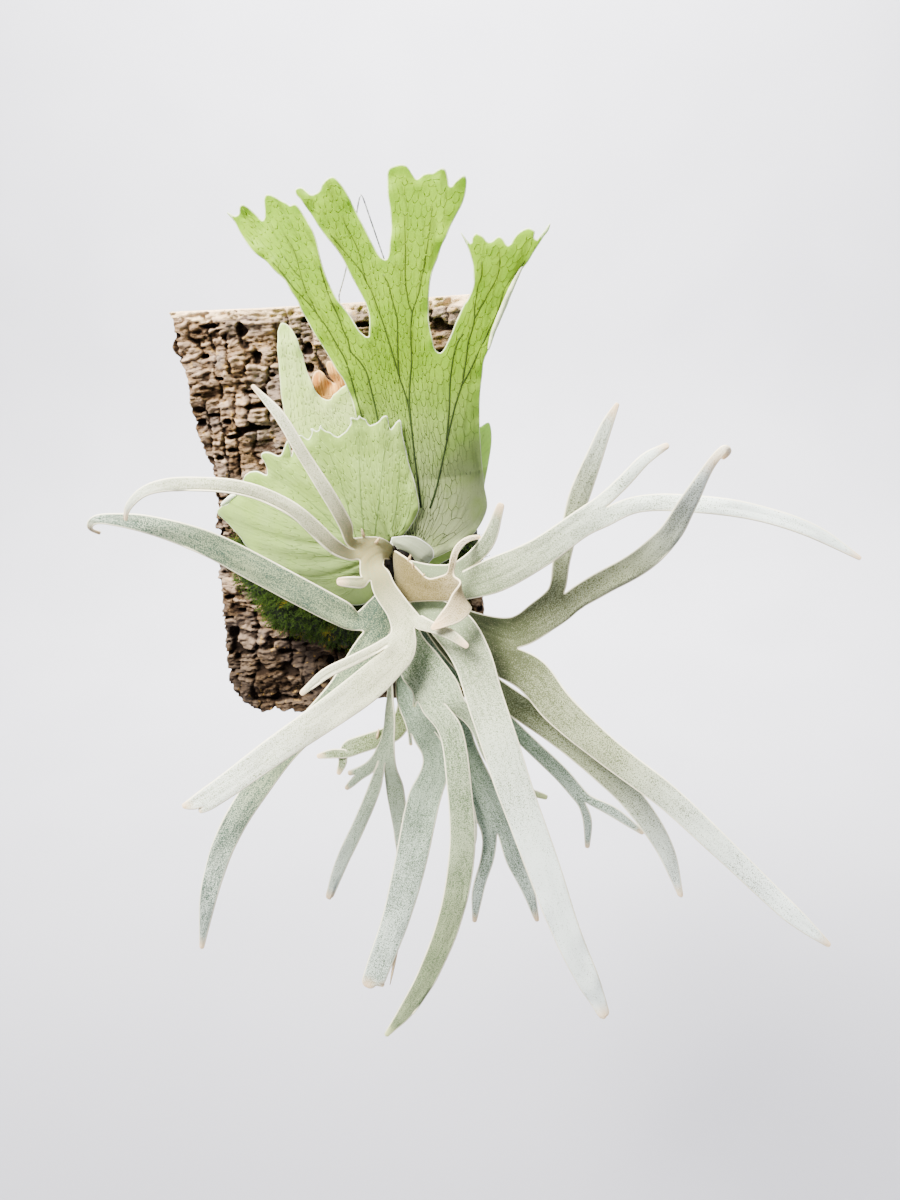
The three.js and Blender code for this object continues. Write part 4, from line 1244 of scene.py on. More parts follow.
# Margins of the shields and their lines of growth, as (x, z) places in mm before they are bent.
TALL_OUTLINE = [
    (58, -13), (53, 2), (47, 22), (44, 36), (39, 63), (35, 76), (31, 81.5), (30.5, 88), (29, 94), (25.5, 106.5),
    (22, 112.5), (18.5, 119), (15.5, 125), (12.5, 131), (9.5, 137), (7, 142.5), (4.5, 148), (2.5, 154.5), (-0.5, 160),
    (-3.5, 166), (-8.5, 171), (-13.5, 176.5), (-19, 181), (-23, 185.5), (-26, 190), (-28.5, 194.5), (-30.5, 199.5),
    (-34, 204.5), (-30, 202.5), (-27, 203.5), (-25.5, 207), (-23.5, 208), (-21.5, 207), (-17, 202.5), (-15, 200),
    (-13.5, 199), (-12, 200.5), (-11, 205), (-10.5, 209.5), (-9, 212), (-6.5, 212), (-4, 211), (0, 208.5), (3, 207),
    (5, 205.5), (7.5, 206), (9.5, 205), (12, 200.5), (14.5, 196), (16.5, 192), (18, 186.5), (19, 180), (20, 173.5),
    (21.5, 167), (23, 161.5), (26, 154.5), (29.5, 149), (33, 143.5), (35.5, 139), (38, 134.5), (40.5, 132), (42, 131),
    (43.5, 131.5), (44, 134.5), (44.5, 138.5), (44.5, 143.5), (43.5, 149), (41.5, 154), (38.5, 160.5), (35.5, 167.5),
    (32.5, 175), (28.5, 182), (24, 188), (20.5, 193.5), (17.5, 199), (14.5, 204), (12.2, 208), (10, 210.5),
    (9.5, 213), (11, 214), (13.5, 214), (16, 212), (18.5, 210), (21.5, 210.5), (24, 212), (25.5, 214.5),
    (27.5, 216.5), (30, 218), (32.5, 218), (35, 215.5), (37.5, 212), (40, 207), (41.5, 202.5), (44, 197), (47, 190.5),
    (49.5, 184.5), (52, 179), (54.5, 175), (57, 173.5), (58.5, 174.5), (59.5, 177.5), (60.5, 182.5), (61.5, 188),
    (62, 194.5), (62, 200.5), (61.5, 207.5), (61.5, 213.5), (62, 218.5), (63.5, 221), (66.5, 222), (69.5, 222.5),
    (72.5, 222), (74, 220.5), (75.5, 218), (77.5, 215), (79, 215), (82, 217), (85, 217.5), (87.5, 217.5), (90.5, 219),
    (93, 219.5), (94.5, 218.5), (95.5, 214.5), (96, 210.5), (97.5, 210), (99.5, 212), (102.5, 214), (105, 215),
    (106, 213), (105.5, 208.5), (104.5, 204.5), (102.5, 200), (99.5, 195.5), (96, 190), (93, 184), (89.5, 178.5),
    (87, 172.5), (84, 166.5), (82, 160), (81, 154.5), (80, 147), (79.5, 140), (80, 133.5), (81, 127.5), (81.5, 123),
    (83, 120), (85, 119), (87.5, 121), (90, 125), (93, 130.5), (95.5, 136), (98.5, 141.5), (101, 146), (103.5, 149),
    (106, 153.5), (107.5, 158), (107.5, 162), (107.5, 167.5), (106.5, 172.5), (105, 177.5), (103.5, 181),
    (101.5, 185.5), (104, 182), (106.5, 179.5), (107.5, 180), (108, 182.5), (110, 184.5), (111.5, 184), (114, 182.5),
    (116, 180), (118, 179.5), (119.5, 180), (121.5, 181.5), (123, 182), (125, 181), (126.5, 178.5), (128, 177),
    (130, 178), (131.5, 180.5), (134, 183), (136.5, 184.5), (139.5, 185.5), (141.5, 185), (143.5, 183.5),
    (143, 180.5), (144.5, 179), (146.5, 181), (149.5, 184), (152.5, 187.5), (151.5, 184), (148.5, 180.5),
    (145.5, 176.5), (142.5, 172.5), (139.5, 168), (136, 164), (132.5, 158.5), (129.5, 152), (127, 145.5),
    (123.5, 138.5), (120.5, 132.5), (117, 126), (114, 119), (111, 112.5), (109.5, 104), (107.5, 91.5), (106.5, 79),
    (106, 62), (106, 43.5), (106.5, 29), (107.5, 12), (98, -2), (82, -10), (70, -13),
]
FINGER_OUTLINE = [
    (57, -13), (45, -10), (35, 8), (24, 22), (8, 42), (-6, 56), (-14, 72), (-15.5, 84.5), (-15, 89.5), (-15.5, 96),
    (-15.5, 102), (-15, 108), (-14.5, 117), (-14, 126), (-13, 132), (-12.5, 136.5), (-11, 139.5), (-9.5, 141.5),
    (-8, 141.5), (-5.5, 140), (-3.5, 137.5), (-2, 134.5), (-0.5, 130.5), (0, 126.5), (1, 122.5), (1.5, 117.5),
    (2.5, 112.5), (4, 108), (5.5, 103.5), (6.5, 100), (9, 96.5), (10.5, 95.5), (13, 94.5), (15.5, 95), (17.5, 97.5),
    (20.5, 99.5), (23, 101.5), (26, 103), (28.5, 104), (32, 104.5), (37, 103), (50, 98), (56, 80), (58, 50), (60, 20),
    (62, -8),
]
BROWN_OUTLINE = [
    (60, -14), (46, -14), (33, 10), (23, 28), (10, 56), (4, 80), (5.5, 95.5), (5, 100.5), (5, 105.5), (5.5, 109),
    (7, 111.5), (9, 112.5), (10.5, 112), (12.5, 110), (13.5, 107.5), (15, 105.5), (16.5, 104), (18, 103.5), (17, 106),
    (15.5, 108.5), (15, 112), (14.5, 115), (15, 117), (16.5, 117.5), (18, 117), (19.5, 114.5), (21.5, 112.5),
    (23, 110), (25, 107), (28, 103), (36, 98), (42, 78), (52, 40), (60, 8),
]
ROUND_OUTLINE = [
    (45, -3), (58, 10), (65, 22), (64.5, 34.5), (63.5, 41.5), (61, 52.5), (59.5, 64), (58.5, 71.5), (58, 80),
    (55.5, 79), (52, 75), (51, 76.5), (50.5, 81), (50, 83.5), (47.5, 83), (45, 80.5), (42.5, 79), (39, 78),
    (37.5, 79.5), (36.5, 82), (34.5, 83), (33, 84.5), (31.5, 82.5), (29, 83.5), (27.5, 83.5), (27.5, 80.5), (26, 78),
    (24, 75.5), (21, 73.5), (18.5, 72), (16, 73), (14, 75), (11.5, 76), (9.5, 77.5), (8.5, 80), (7, 77), (5, 76.5),
    (3.5, 78), (2, 78), (2.5, 76), (1.5, 73.5), (-0.5, 71.5), (-2.5, 72.5), (-5, 74.5), (-7.5, 72.5), (-10.5, 67.5),
    (-13, 61), (-13, 65.5), (-14, 71), (-16.5, 67), (-19, 62.5), (-21, 61.5), (-23, 62), (-26, 63.5), (-29.5, 64),
    (-32.5, 63), (-33.5, 61), (-32, 57.5), (-31, 53.5), (-31, 49.5), (-32.5, 49), (-37.5, 51), (-41.5, 51),
    (-44.5, 50), (-47.5, 48), (-49.5, 44.5), (-51, 39.5), (-55.5, 35.5), (-61, 31.5), (-65.5, 27), (-72, 24),
    (-80.5, 17), (-74, 15), (-68.5, 12.5), (-63.5, 9), (-59, 5), (-55, -1), (-51, -5.5), (-43.5, -9.5), (-31, -20),
    (-10, -34), (13, -41.5), (27, -39.5), (38, -22),
]
RIGHT_OUTLINE = [
    (58, -4), (65, -23), (77, -19), (90, -12), (99, 2), (104, 15), (107, 30), (110, 43), (113, 60), (112, 72),
    (106, 70), (100, 71), (86, 64), (72, 40),
]

# Lines along which each shield has grown, from its base to its margin.
TALL_GROWTH = [
    [(50, -13), (44, 36), (29, 88), (12, 131), (-14, 176), (-37, 207)],
    [(53, -13), (56, 36), (49, 88), (41, 128), (24, 176), (12, 210)],
    [(57, -13), (68, 36), (63, 88), (60, 131), (57, 174), (51, 220)],
    [(61, -13), (82, 30), (81, 80), (84, 120), (97, 170), (104, 212)],
    [(68, -13), (104, 12), (109, 80), (121, 131), (142, 171), (155, 193)],
]
FINGER_GROWTH = [
    [(50, -13), (24, 22), (-14, 62), (-16, 100), (-15, 144)], [(54, -13), (34, 30), (9, 70), (4, 105), (2, 144)],
    [(58, -13), (45, 30), (26, 70), (20, 92), (21, 110)], [(63, -13), (59, 30), (58, 60), (54, 85), (52, 106)],
]
BROWN_GROWTH = [
    [(48, -14), (24, 26), (3, 75), (3, 116)], [(53, -14), (38, 30), (18, 75), (14, 118)],
    [(58, -14), (55, 30), (42, 78), (31, 110)],
]
ROUND_GROWTH = [
    [(46, -3), (20, -28), (-2, -42)], [(45, -2), (-2, -18), (-55, -12)], [(44, -1), (-12, 4), (-84, 18)],
    [(44, 0), (-4, 20), (-52, 46)], [(44, 1), (12, 40), (-18, 72)], [(45, 1), (32, 44), (24, 84)],
    [(46, 1), (50, 42), (58, 84)], [(48, 1), (60, 18), (68, 34)],
]
RIGHT_GROWTH = [
    [(60, -6), (76, -14), (92, -20)], [(60, -5), (84, 8), (108, 22)], [(60, -4), (84, 28), (116, 60)],
    [(60, -3), (80, 36), (100, 76)], [(59, -3), (70, 30), (82, 66)],
]

# Main veins of the shields, and margins that have rolled over.
ROUND_VEINS = [
    [(28.5, 4.5), (29, 14.5), (29, 28), (29.5, 44), (30.5, 60), (32, 72.5), (33, 79.5)],
    [(35, 4), (37, 14), (40.5, 30.5), (43, 44.5), (46, 59), (48, 68.5), (50.5, 78)],
    [(23.5, 6), (22, 15), (19.5, 31.5), (17, 45), (13.5, 56.5), (10.5, 67)],
    [(44, 6), (47.5, 13), (51, 26), (53, 39), (55, 52), (55.5, 65), (55, 74.5)],
    [(49.5, 5.5), (55, 12), (59.5, 23.5), (61.5, 35)],
    [(19, 1.5), (13.5, 10.5), (3, 23.5), (-8, 34.5), (-19, 43), (-29.5, 48.5)],
    [(20, -4), (9.5, 2), (-5, 12.5), (-21, 22), (-36, 28.5), (-49.5, 32.5)],
    [(22, -10), (15, -8.5), (-4.5, -3), (-21.5, 2), (-40.5, 11), (-57, 17)],
    [(22.5, -17), (10.5, -17.5), (-9.5, -13.5), (-26, -7)],
]
FINGER_VEINS = [
    [(40, 10), (14, 52), (-5, 86), (-9, 112), (-10, 134)], [(44, 12), (24, 56), (10, 80), (-2, 100), (-4, 122)],
    [(50, 14), (38, 56), (30, 80), (28, 98)],
]
TALL_ROLL = [[(136, 165.5), (131.5, 158), (127, 149.5), (122, 139.5), (117.5, 129.5), (114, 119)]]
ROUND_ROLL = [[(-72, 25), (-66, 29), (-60, 33), (-54.5, 35.5)]]

BUD_SHIELD = Blade([[47, 5, 4], [53, 3, 10], [60, -1, 15], [67, -8, 15]], columns=4)

# Main veins of the tall shield, from its base to its teeth.
TALL_VEINS = [
    [(66, 22), (65.5, 34), (64.5, 55), (64, 76.5), (64, 92), (65.5, 104), (67.5, 116), (68, 127.5), (69, 138),
     (70, 143.5)],
    [(69, 138), (70, 143.5), (68.5, 148.5), (68, 154), (67.5, 160.5), (68, 168.5), (69, 178), (69.5, 187.5),
     (70, 197)],
    [(69, 138), (70.5, 144.5), (72.5, 149), (75, 154.5), (76.5, 160.5), (78.5, 167), (81, 176.5), (83.5, 187),
     (86, 200.5)],
    [(64, 76.5), (63, 89), (61, 98.5), (59, 106.5), (57.5, 115), (56, 122.5), (54.5, 129.5), (52.5, 138.5),
     (50.5, 145.5), (49, 151.5), (47, 157.5), (44.5, 163), (42.5, 168), (38.5, 173.5), (34, 179), (30, 184.5),
     (26, 189.5)],
    [(44.5, 163), (43.5, 170), (42.5, 176.5), (41, 182), (38.5, 188), (36, 193.5), (35, 198.5)],
    [(59, 106.5), (59.5, 119.5), (60.5, 131), (61, 141), (59.5, 149), (58.5, 155), (57.5, 160.5), (55, 165.5)],
    [(38.5, 61), (36, 75), (33, 90), (31, 102), (29.5, 110.5), (27.5, 119), (24.5, 125.5), (21.5, 132), (18, 139),
     (14, 145.5), (11.5, 152), (8.5, 159), (7, 166), (6, 173), (5, 178.5), (3, 184.5), (-1, 191)],
    [(14, 145.5), (10, 151), (6, 156), (2, 160.5), (-1.5, 165.5), (-6, 172), (-11.5, 178.5)],
    [(7, 166), (3.5, 169.5), (0.5, 174), (-2.5, 179)],
    [(45, 68), (43.5, 84), (41.5, 98.5), (39.5, 110.5), (35.5, 118), (31.5, 123), (30.5, 129.5), (28.5, 135),
     (27, 140.5), (25, 146.5), (23, 153), (21, 159), (20, 164.5), (18.5, 172.5)],
    [(71.5, 21), (76.5, 34.5), (83, 57), (89, 77.5), (92.5, 88.5), (96.5, 98.5), (98.5, 106.5), (100.5, 115.5),
     (102, 124), (104.5, 130.5), (106.5, 137.5), (107, 144), (108.5, 150), (109.5, 155.5), (112, 162), (112.5, 169)],
    [(106.5, 137.5), (109.5, 142.5), (113, 147.5), (115.5, 152), (118.5, 156), (121.5, 161.5), (123, 168), (123, 175)],
    [(96.5, 98.5), (101, 105.5), (105, 112.5), (109, 120), (113, 127), (117, 134.5), (120.5, 141), (123, 148),
     (125.5, 153.5), (129, 159), (133, 163), (137.5, 168.5)],
    [(85, 65), (88, 84), (89.5, 99.5), (91.5, 111), (93.5, 119), (96, 125), (99.5, 129.5)],
]

# The felt of each fertile frond, and its strap as Blade describes it.
FERTILE_FRONDS = {
    "frond_front_left": (Felt.CREAM, Blade([
        [47, -90, -4, 8], [42, -104, 4, 14], [35, -113, 3.5, 26],
    ], [
        Blade([[40, -121, -8, 18]], [
            Blade([[46, -125, -17, 14], [53, -130, -26, 14.5], [59, -136, -36, 20]], [
                Blade([[67, -141, -32, 9], [76, -146, -34, 6], [86, -149, -37, 6], [96, -152, -44, 3]], columns=1),
                Blade([[54, -146, -48, 22]], [
                    Blade([
                        [36, -160, -64, 20], [11, -173, -78, 18], [-18, -184, -94, 16], [-48, -192, -113, 14],
                        [-61, -194, -121, 13],
                    ], [
                        Blade([[-64, -195, -127, 3]], columns=1),
                        Blade([[-69, -195, -123, 7], [-74, -195, -124, 3]], columns=1),
                    ]),
                    Blade([[28, -155, -50, 6], [11, -158, -57, 6], [-5, -157, -70, 3]], columns=1),
                ]),
            ]),
            Blade([[33, -126, -11, 7], [26.5, -130, -9, 6.5], [20, -132, -8, 5]], columns=1),
        ]),
        Blade([
            [18, -126, 12, 8.5], [9, -130, 24, 9], [-5, -134, 40, 8], [-29, -138, 53, 8], [-60, -141, 58, 8],
            [-85, -143, 56, 6], [-99, -143, 46, 4], [-103, -140, 38, 2],
        ]),
        Blade([[25, -121, 23.5, 8], [18, -126, 43, 8], [5, -127, 69, 7], [-7, -124, 92, 6], [-22, -119, 109, 2]]),
    ], heading=[-0.7, -0.4, -0.58], bow=0.2)),
    "frond_left_low": (Felt.DUSTY, Blade([[47, -90, -26, 9], [39, -108, -37, 20], [33, -116, -45, 26]], [
        Blade([
            [24, -126, -68, 19], [13, -135, -81, 17], [-4, -145, -96, 16], [-22, -155, -111, 16],
            [-39, -162, -131, 16], [-55, -167, -153, 15], [-69, -170, -179, 14], [-80, -171, -209, 11],
            [-93, -167, -253, 3],
        ]),
        Blade([
            [17, -117, -35, 16], [-5, -120, -20, 17], [-32, -122, -2, 17], [-63, -125, 18, 15], [-94, -128, 31, 11],
            [-116, -130, 36, 7], [-128, -130, 36, 5], [-133, -127, 29, 4], [-129, -123, 26, 2],
        ]),
    ])),
    "frond_centre": (Felt.WORN, Blade([
        [52, -91, -39, 8], [57, -122, -53, 20], [65, -133, -65, 27], [76, -142, -82, 30],
    ], [
        Blade([[99, -142, -100, 11], [107, -141, -124, 10], [121, -138, -148, 7], [141, -134, -160, 3]]),
        Blade([
            [83, -151, -100, 14.5], [87.5, -162, -136, 15], [87.5, -169, -175, 16], [78, -173, -222, 15],
            [60, -174, -269, 13], [44, -173, -299, 10], [28, -171, -323, 3],
        ]),
        Blade([[61, -143, -87, 2]], columns=1),
    ], heading=[0, -0.5, -0.86])),
    "frond_centre_right": (Felt.WHITE, Blade([
        [54, -91, -27, 8], [73, -117, -34, 18], [89, -131, -43, 25], [99, -142, -58, 23], [105, -152, -77, 22],
        [113, -165, -100, 22], [123, -177, -131, 21], [136, -187, -170, 20], [150, -193, -217, 17],
        [163, -195, -253, 14], [173, -195, -280, 7],
    ])),
    "frond_curled": (Felt.TAN, Blade([
        [49, -88, -14, 8], [50, -100, -11, 24], [54, -109, -15, 34], [60, -115, -15, 29], [66, -119, -17, 21],
        [73.5, -122, -18.5, 14], [82, -126, -16.5, 15.5], [89.5, -130, -14.5, 19],
    ], [
        Blade([
            [88.5, -131, -1, 4], [90, -130, 5, 3.5], [93.5, -127, 11, 3.5], [99, -123, 14, 3], [105, -119, 13, 2],
        ], columns=1),
        Blade([
            [95, -134, -17, 20, 10], [94, -141, -20, 15, 40], [90, -146, -25, 13, 44], [83, -150, -28.5, 8.5, 44],
            [77, -152, -32, 3, 44],
        ], side=[0, 0, -1]),
    ], side=[0, 0, -1])),
    "frond_upper_right": (Felt.WHITE, Blade([[54, -90, -13, 9], [72, -103, -17, 17], [92, -114, -16, 24]], [
        Blade([[109, -121, 9, 9], [119, -122, 33, 4]]),
        Blade([[114, -126, -9, 21], [141, -139, 8, 17], [164, -149, 27, 15], [176, -153, 35, 17]], [
            Blade([[188, -153, 52, 7], [199, -154, 64, 6], [210, -153, 70, 3]], columns=1),
            Blade([
                [196, -158, 40, 9], [227, -165, 40, 9], [257, -170, 35, 8], [286, -172, 24, 7], [310, -172, 9, 2],
            ]),
        ]),
    ])),
    "frond_right": (Felt.SHADED_OLIVE, Blade([
        [55, -88, -32, 9], [80, -102, -46, 21], [102, -108, -57, 30], [120, -113, -63, 40],
    ], [
        Blade([[142, -118, -40, 21], [155, -121, -28, 22]], [
            Blade([
                [154, -123, -3, 10], [159, -124, 17, 10], [165, -126, 38, 12], [174, -128, 62, 9], [181, -129, 80, 6],
                [186, -130, 90, 2],
            ]),
            Blade([
                [175, -129, -17, 14], [198, -142, 1, 14], [212, -156, 21, 12], [219, -175, 45, 9], [225, -186, 63, 5],
                [229, -190, 71, 4], [233, -190, 75.5, 4], [235.5, -188, 73, 3.5], [233, -186, 70, 3],
            ]),
        ]),
        Blade([
            [134, -122, -78, 23], [150, -135, -95, 21], [179, -152, -117, 17], [213, -169, -139, 15],
            [249, -182, -172, 13], [282, -190, -205, 11], [307, -193, -228, 3],
        ]),
    ])),
    "frond_behind_right": (Felt.SHADED_OLIVE, Blade([
        [57, -84, -36, 7], [68, -91, -51, 11], [82, -96, -70, 13], [104, -103, -92, 16], [123, -109, -105, 16],
        [152, -119, -123, 16], [180, -129, -145, 16], [201, -136, -168, 14], [218, -139, -198, 11],
        [229, -138, -235, 3],
    ])),
    "frond_far_right": (Felt.MINT, Blade([
        [54, -82, -44, 7], [62, -86, -61, 8], [80, -89, -84, 9], [106, -92, -114, 10], [129, -96, -139, 10],
        [152, -101, -162, 10], [167, -104, -181, 10],
    ], [
        Blade([[186, -108, -188, 7], [207, -109, -205, 3]], columns=1),
        Blade([[170, -104, -198, 6], [170, -102, -221, 3]], columns=1),
    ])),
    "frond_lower": (Felt.MINT, Blade([
        [52, -90, -44, 7], [55, -99, -69, 16], [61, -108, -93, 34], [71, -116, -113, 40],
    ], [
        Blade([[87, -117, -135, 20], [97, -118, -164, 22], [108, -118, -194, 23]], [
            Blade([[119, -118, -222, 11], [128, -118, -248, 8], [133, -116, -273, 3]]),
            Blade([[100, -117, -219, 9], [92, -115, -248, 8], [88, -112, -277, 3]]),
        ]),
        Blade([[84, -126, -150, 7], [90, -128, -175, 8], [90, -127, -198, 7], [82, -124, -222, 5]], columns=1),
        Blade([
            [71, -132, -132, 17], [62, -142, -156, 21], [52, -152, -195, 20.5], [39, -158, -238, 18],
            [20.5, -161, -286, 15],
        ], [
            Blade([[26, -161, -288.5, 4.5]], columns=1), Blade([[17, -161, -288, 9.5]], columns=1),
        ]),
        Blade([[53, -118, -128, 2]], columns=1),
    ])),
    "frond_edge_on": (Felt.PALE, Blade([
        [44, -88, -45, 7], [41, -103, -66, 9, 50], [41, -107, -84, 9.5, 55], [41, -113, -100, 9.5, 55],
        [39, -118, -121, 10, 35], [35, -121, -136, 15],
    ], [
        Blade([[40, -119, -162, 12], [41, -117, -204, 9], [40, -115, -239, 4]]),
        Blade([[26, -123, -160, 8.5], [12, -125, -190, 9], [-2, -125, -218, 8.5], [-13, -123, -246, 5]]),
        Blade([[25, -121, -143, 8], [16, -120, -149, 8.5]], [
            Blade([[12, -120, -155, 5], [6.5, -118, -161, 3]], columns=1),
            Blade([[10.5, -120, -148, 3.5]], columns=1),
        ]),
    ])),
    "frond_small_left": (Felt.SHADED, Blade([
        [46, -78, -48, 7], [46, -80, -67, 9], [47, -83, -88, 9], [47, -84, -116, 12], [38, -86, -135, 13],
        [21, -87, -142, 12], [4, -87, -148, 12],
    ], [
        Blade([[-8, -88, -151, 6.5], [-18, -88, -153, 3]], columns=1),
        Blade([[-1, -88, -158, 6], [-5, -88, -167, 3]], columns=1),
    ])),
}

# Little teeth on the margins of the fertile fronds: base and tip of each.
SPURS = {
    "frond_front_left": [[[32.5, -107, 13], [32, -109, 18.5]], [[39.5, -106, 8], [42.5, -107, 12]]],
    "frond_curled": [
        [[60, -115, -3], [62.5, -117, 3]], [[64, -117, -7], [63.5, -120, -1.5]], [[69, -120, -12], [70.5, -122, -8]],
    ],
    "frond_small_left": [[[25, -87, -140], [27, -88, -132]]],
    "frond_lower": [[[38, -159.5, -262], [31.5, -160.5, -290]]],
}


# ---- Sub-assemblies ----


@dataclass
class HangerWire:
    """The wire that the board hangs by; both its ends stand in the board's top edge."""

    diameter: float = 1.0
    left: float = 13.0
    right: float = 53.0
    depth: float = -9.0
    end: float = 138.0
    mouth: float = 150.0
    bend: float = 154.0
    apex: float = 216.0
    step: float = 3.0

    def route(self) -> Array:
        """Runs the wire up one leg, over its top and down the other.

        Returns:
            The places that it runs through, in mm.
        """
        legs = [[(x, self.depth, z) for z in (self.end, self.mouth, self.bend)] for x in (self.left, self.right)]
        over = [(19, -8, 170), (27, -6, 197), (31.6, -5, 213), (33, -5, self.apex)]
        down = [(34.4, -5, 213), (39, -6, 197), (47, -8, 170)]
        return smooth_route([*legs[0], *over, *down, *legs[1][::-1]], self.step)

    def build(self) -> None:
        places = self.route()
        data = bpy.data.curves.new("hanger_wire_dressed", "CURVE")
        data.dimensions = "3D"
        spline = data.splines.new("POLY")
        spline.points.add(len(places) - 1)
        for point, place in zip(spline.points, places):
            point.co = (*(place * MM), 1)
        data.bevel_depth = self.diameter / 2 * MM
        data.bevel_resolution = 4
        data.use_fill_caps = True
        data.materials.append(GalvanisedWire().build())
        wire = put("hanger_wire_dressed", data)
        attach(wire, BODY)
        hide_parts("hanger_wire")


@dataclass
class CorkBoard:
    """The slab of cork bark, with crumbly plates between its fissures and a sawn top edge."""

    thickness: float = 26.0
    relief: float = 7.0
    flat: float = 22.0
    moss_centre: tuple[float, float] = (12, -21)
    moss_radii: tuple[float, float] = (92, 72)
    grid: tuple[float, float] = (1.15, 0.8)  # spacing of the points across and up the front
    wall_rows: int = 12
    crumble: float = 7.0  # how far the plates stand out from the crevices between them
    column: float = 13.0  # width of the upright columns that the fissures part
    lamina: float = 3.9  # height of one year's layer of cork
    ragged: float = 3.0  # how far the broken edges wander
    seed: int = 41
    left: tuple = (
        (-101, 150), (-98, 139), (-102, 125), (-96, 110), (-96, 95), (-94, 65), (-87, 37), (-88, 21),
        (-91, -10), (-95, -49), (-95, -76), (-99, -110), (-97, -129), (-84, -152),
    )
    right: tuple = (
        (101, 150), (98, 120), (102, 90), (99, 60), (101, 13), (97, -20), (100, -66), (96, -100),
        (99, -130), (94, -152),
    )
    top: tuple = ((-101, 150), (-45, 149), (23, 149), (101, 150))
    bottom: tuple = (
        (-84, -153), (-60, -147), (-43, -150), (2, -141), (22, -139), (50, -146), (75, -143), (94, -150),
    )

    def __post_init__(self) -> None:
        """Draws the noises that shape the bark."""
        self.noise = [Lattice(self.seed + i) for i in range(12)]

    def outline(self, u: Array, v: Array) -> tuple[Array, Array]:
        """Finds places on the board.

        Args:
            u: How far across it they lie, from 0 to 1.
            v: How far up it.

        Returns:
            Their x and their z in mm.
        """
        low = along(self.bottom, self.bottom[0][0] + u * (self.bottom[-1][0] - self.bottom[0][0]), 0)
        low = low + self.ragged * 1.4 * (self.noise[10].at(u * 26, u * 0) - 0.5)
        high = along(self.top, self.top[0][0] + u * (self.top[-1][0] - self.top[0][0]), 0)
        z = low + (high - low) * v
        small, large = self.noise[10:]
        chips = [large.at(z / 6, z * 0 + side) + 0.5 * small.at(z / 2, z * 0 + side) for side in (3, 9)]
        begin = along(self.left, z, 1) + self.ragged * (chips[0] - 0.75)
        end = along(self.right, z, 1) + self.ragged * (chips[1] - 0.75)
        return begin + (end - begin) * u, z

    def coarse(self, x: Array, z: Array) -> Array:
        """Finds the board's thickness as the solid has it.

        Args:
            x: How far across the board each place is, in mm.
            z: How far up it is.

        Returns:
            The thickness in mm.
        """
        fissures = np.sin(0.17 * x + 1.6 * np.sin(0.045 * z + 0.6))
        layers = np.sin(0.19 * z + 1.4 * np.sin(0.06 * x + 1.1))
        lumps = np.sin(0.09 * x - 0.11 * z + 2.0)
        height = 0.5 + 0.2 * fissures + 0.18 * layers + 0.12 * lumps
        bark = self.thickness - self.relief * (1 - height)
        (at_x, at_z), (wide, high) = self.moss_centre, self.moss_radii
        apart = np.hypot((x - at_x) / wide, (z - at_z) / high)
        return self.flat + (bark - self.flat) * smoothstep(1.13, 1.3, apart)

    def plates(self, x: Array, z: Array) -> tuple[Array, Array]:
        """Works out the bark's fine relief: slabs of cork stacked in columns, with pits between them.

        Args:
            x: How far across the board each place is, in mm.
            z: How far up it is.

        Returns:
            The relief, from 0 in the crevices to 1 on the crests, and a random number for each slab.
        """
        n = self.noise
        u = x + 16 * (n[0].at(x / 30, z / 40) - 0.5) + 7 * (n[1].at(x / 9, z / 11) - 0.5)
        u = (u + 2.5 * (n[1].at(x / 3, z / 3) - 0.5)) / self.column
        column, share = np.floor(u), u - np.floor(u)
        v = z + 10 * (n[2].at(x / 34, z / 26) - 0.5) + 2.2 * (n[3].at(x / 8, z / 6) - 0.5)
        v = v + 60 * n[4].at(column * 7.3, column * 0) + 8 * (share - 0.5) ** 2 * (n[4].at(column * 3.1, z / 30) - 0.3)
        layer = v / self.lamina + 1.1 * (n[5].at(x / 16, z / 9) - 0.5)
        row, ledge = np.floor(layer), layer - np.floor(layer)
        half = np.floor(share * 2 * n[10].at(column * 2.3, row * 1.7))
        slab = n[5].at(column * 7.3 + 50 + 5.1 * half, row * 3.7 + 50)
        group = n[6].at(column * 5.7 + 9, np.floor(row / 3) * 4.3)
        seam = smoothstep(0, 0.2, ledge) * (1 - 0.45 * smoothstep(0.55, 1, ledge))
        sheets = (0.25 + 0.75 * slab) * (0.45 + 0.55 * seam)
        upright = 1 - smoothstep(0.0, 0.14, np.minimum(share, 1 - share))
        upright = upright * smoothstep(0.3, 0.6, n[8].at(x / 12, z / 14))
        lumps = n[9].at(x / 12, z / 8) + 0.4 * n[9].at(x / 5 + 30, z / 4 + 30) - 0.7
        crumbs = n[6].at(x / 2.2 + 70, z / 1.5 + 70) - 0.5
        pits = smoothstep(0.7, 0.82, n[7].at(x / 9 + 60, z / 5 + 60))
        height = 0.24 + 0.5 * sheets + 0.42 * group + 0.4 * lumps + 0.36 * crumbs
        return np.clip(height - 0.45 * upright - 0.75 * pits, 0, 1), slab

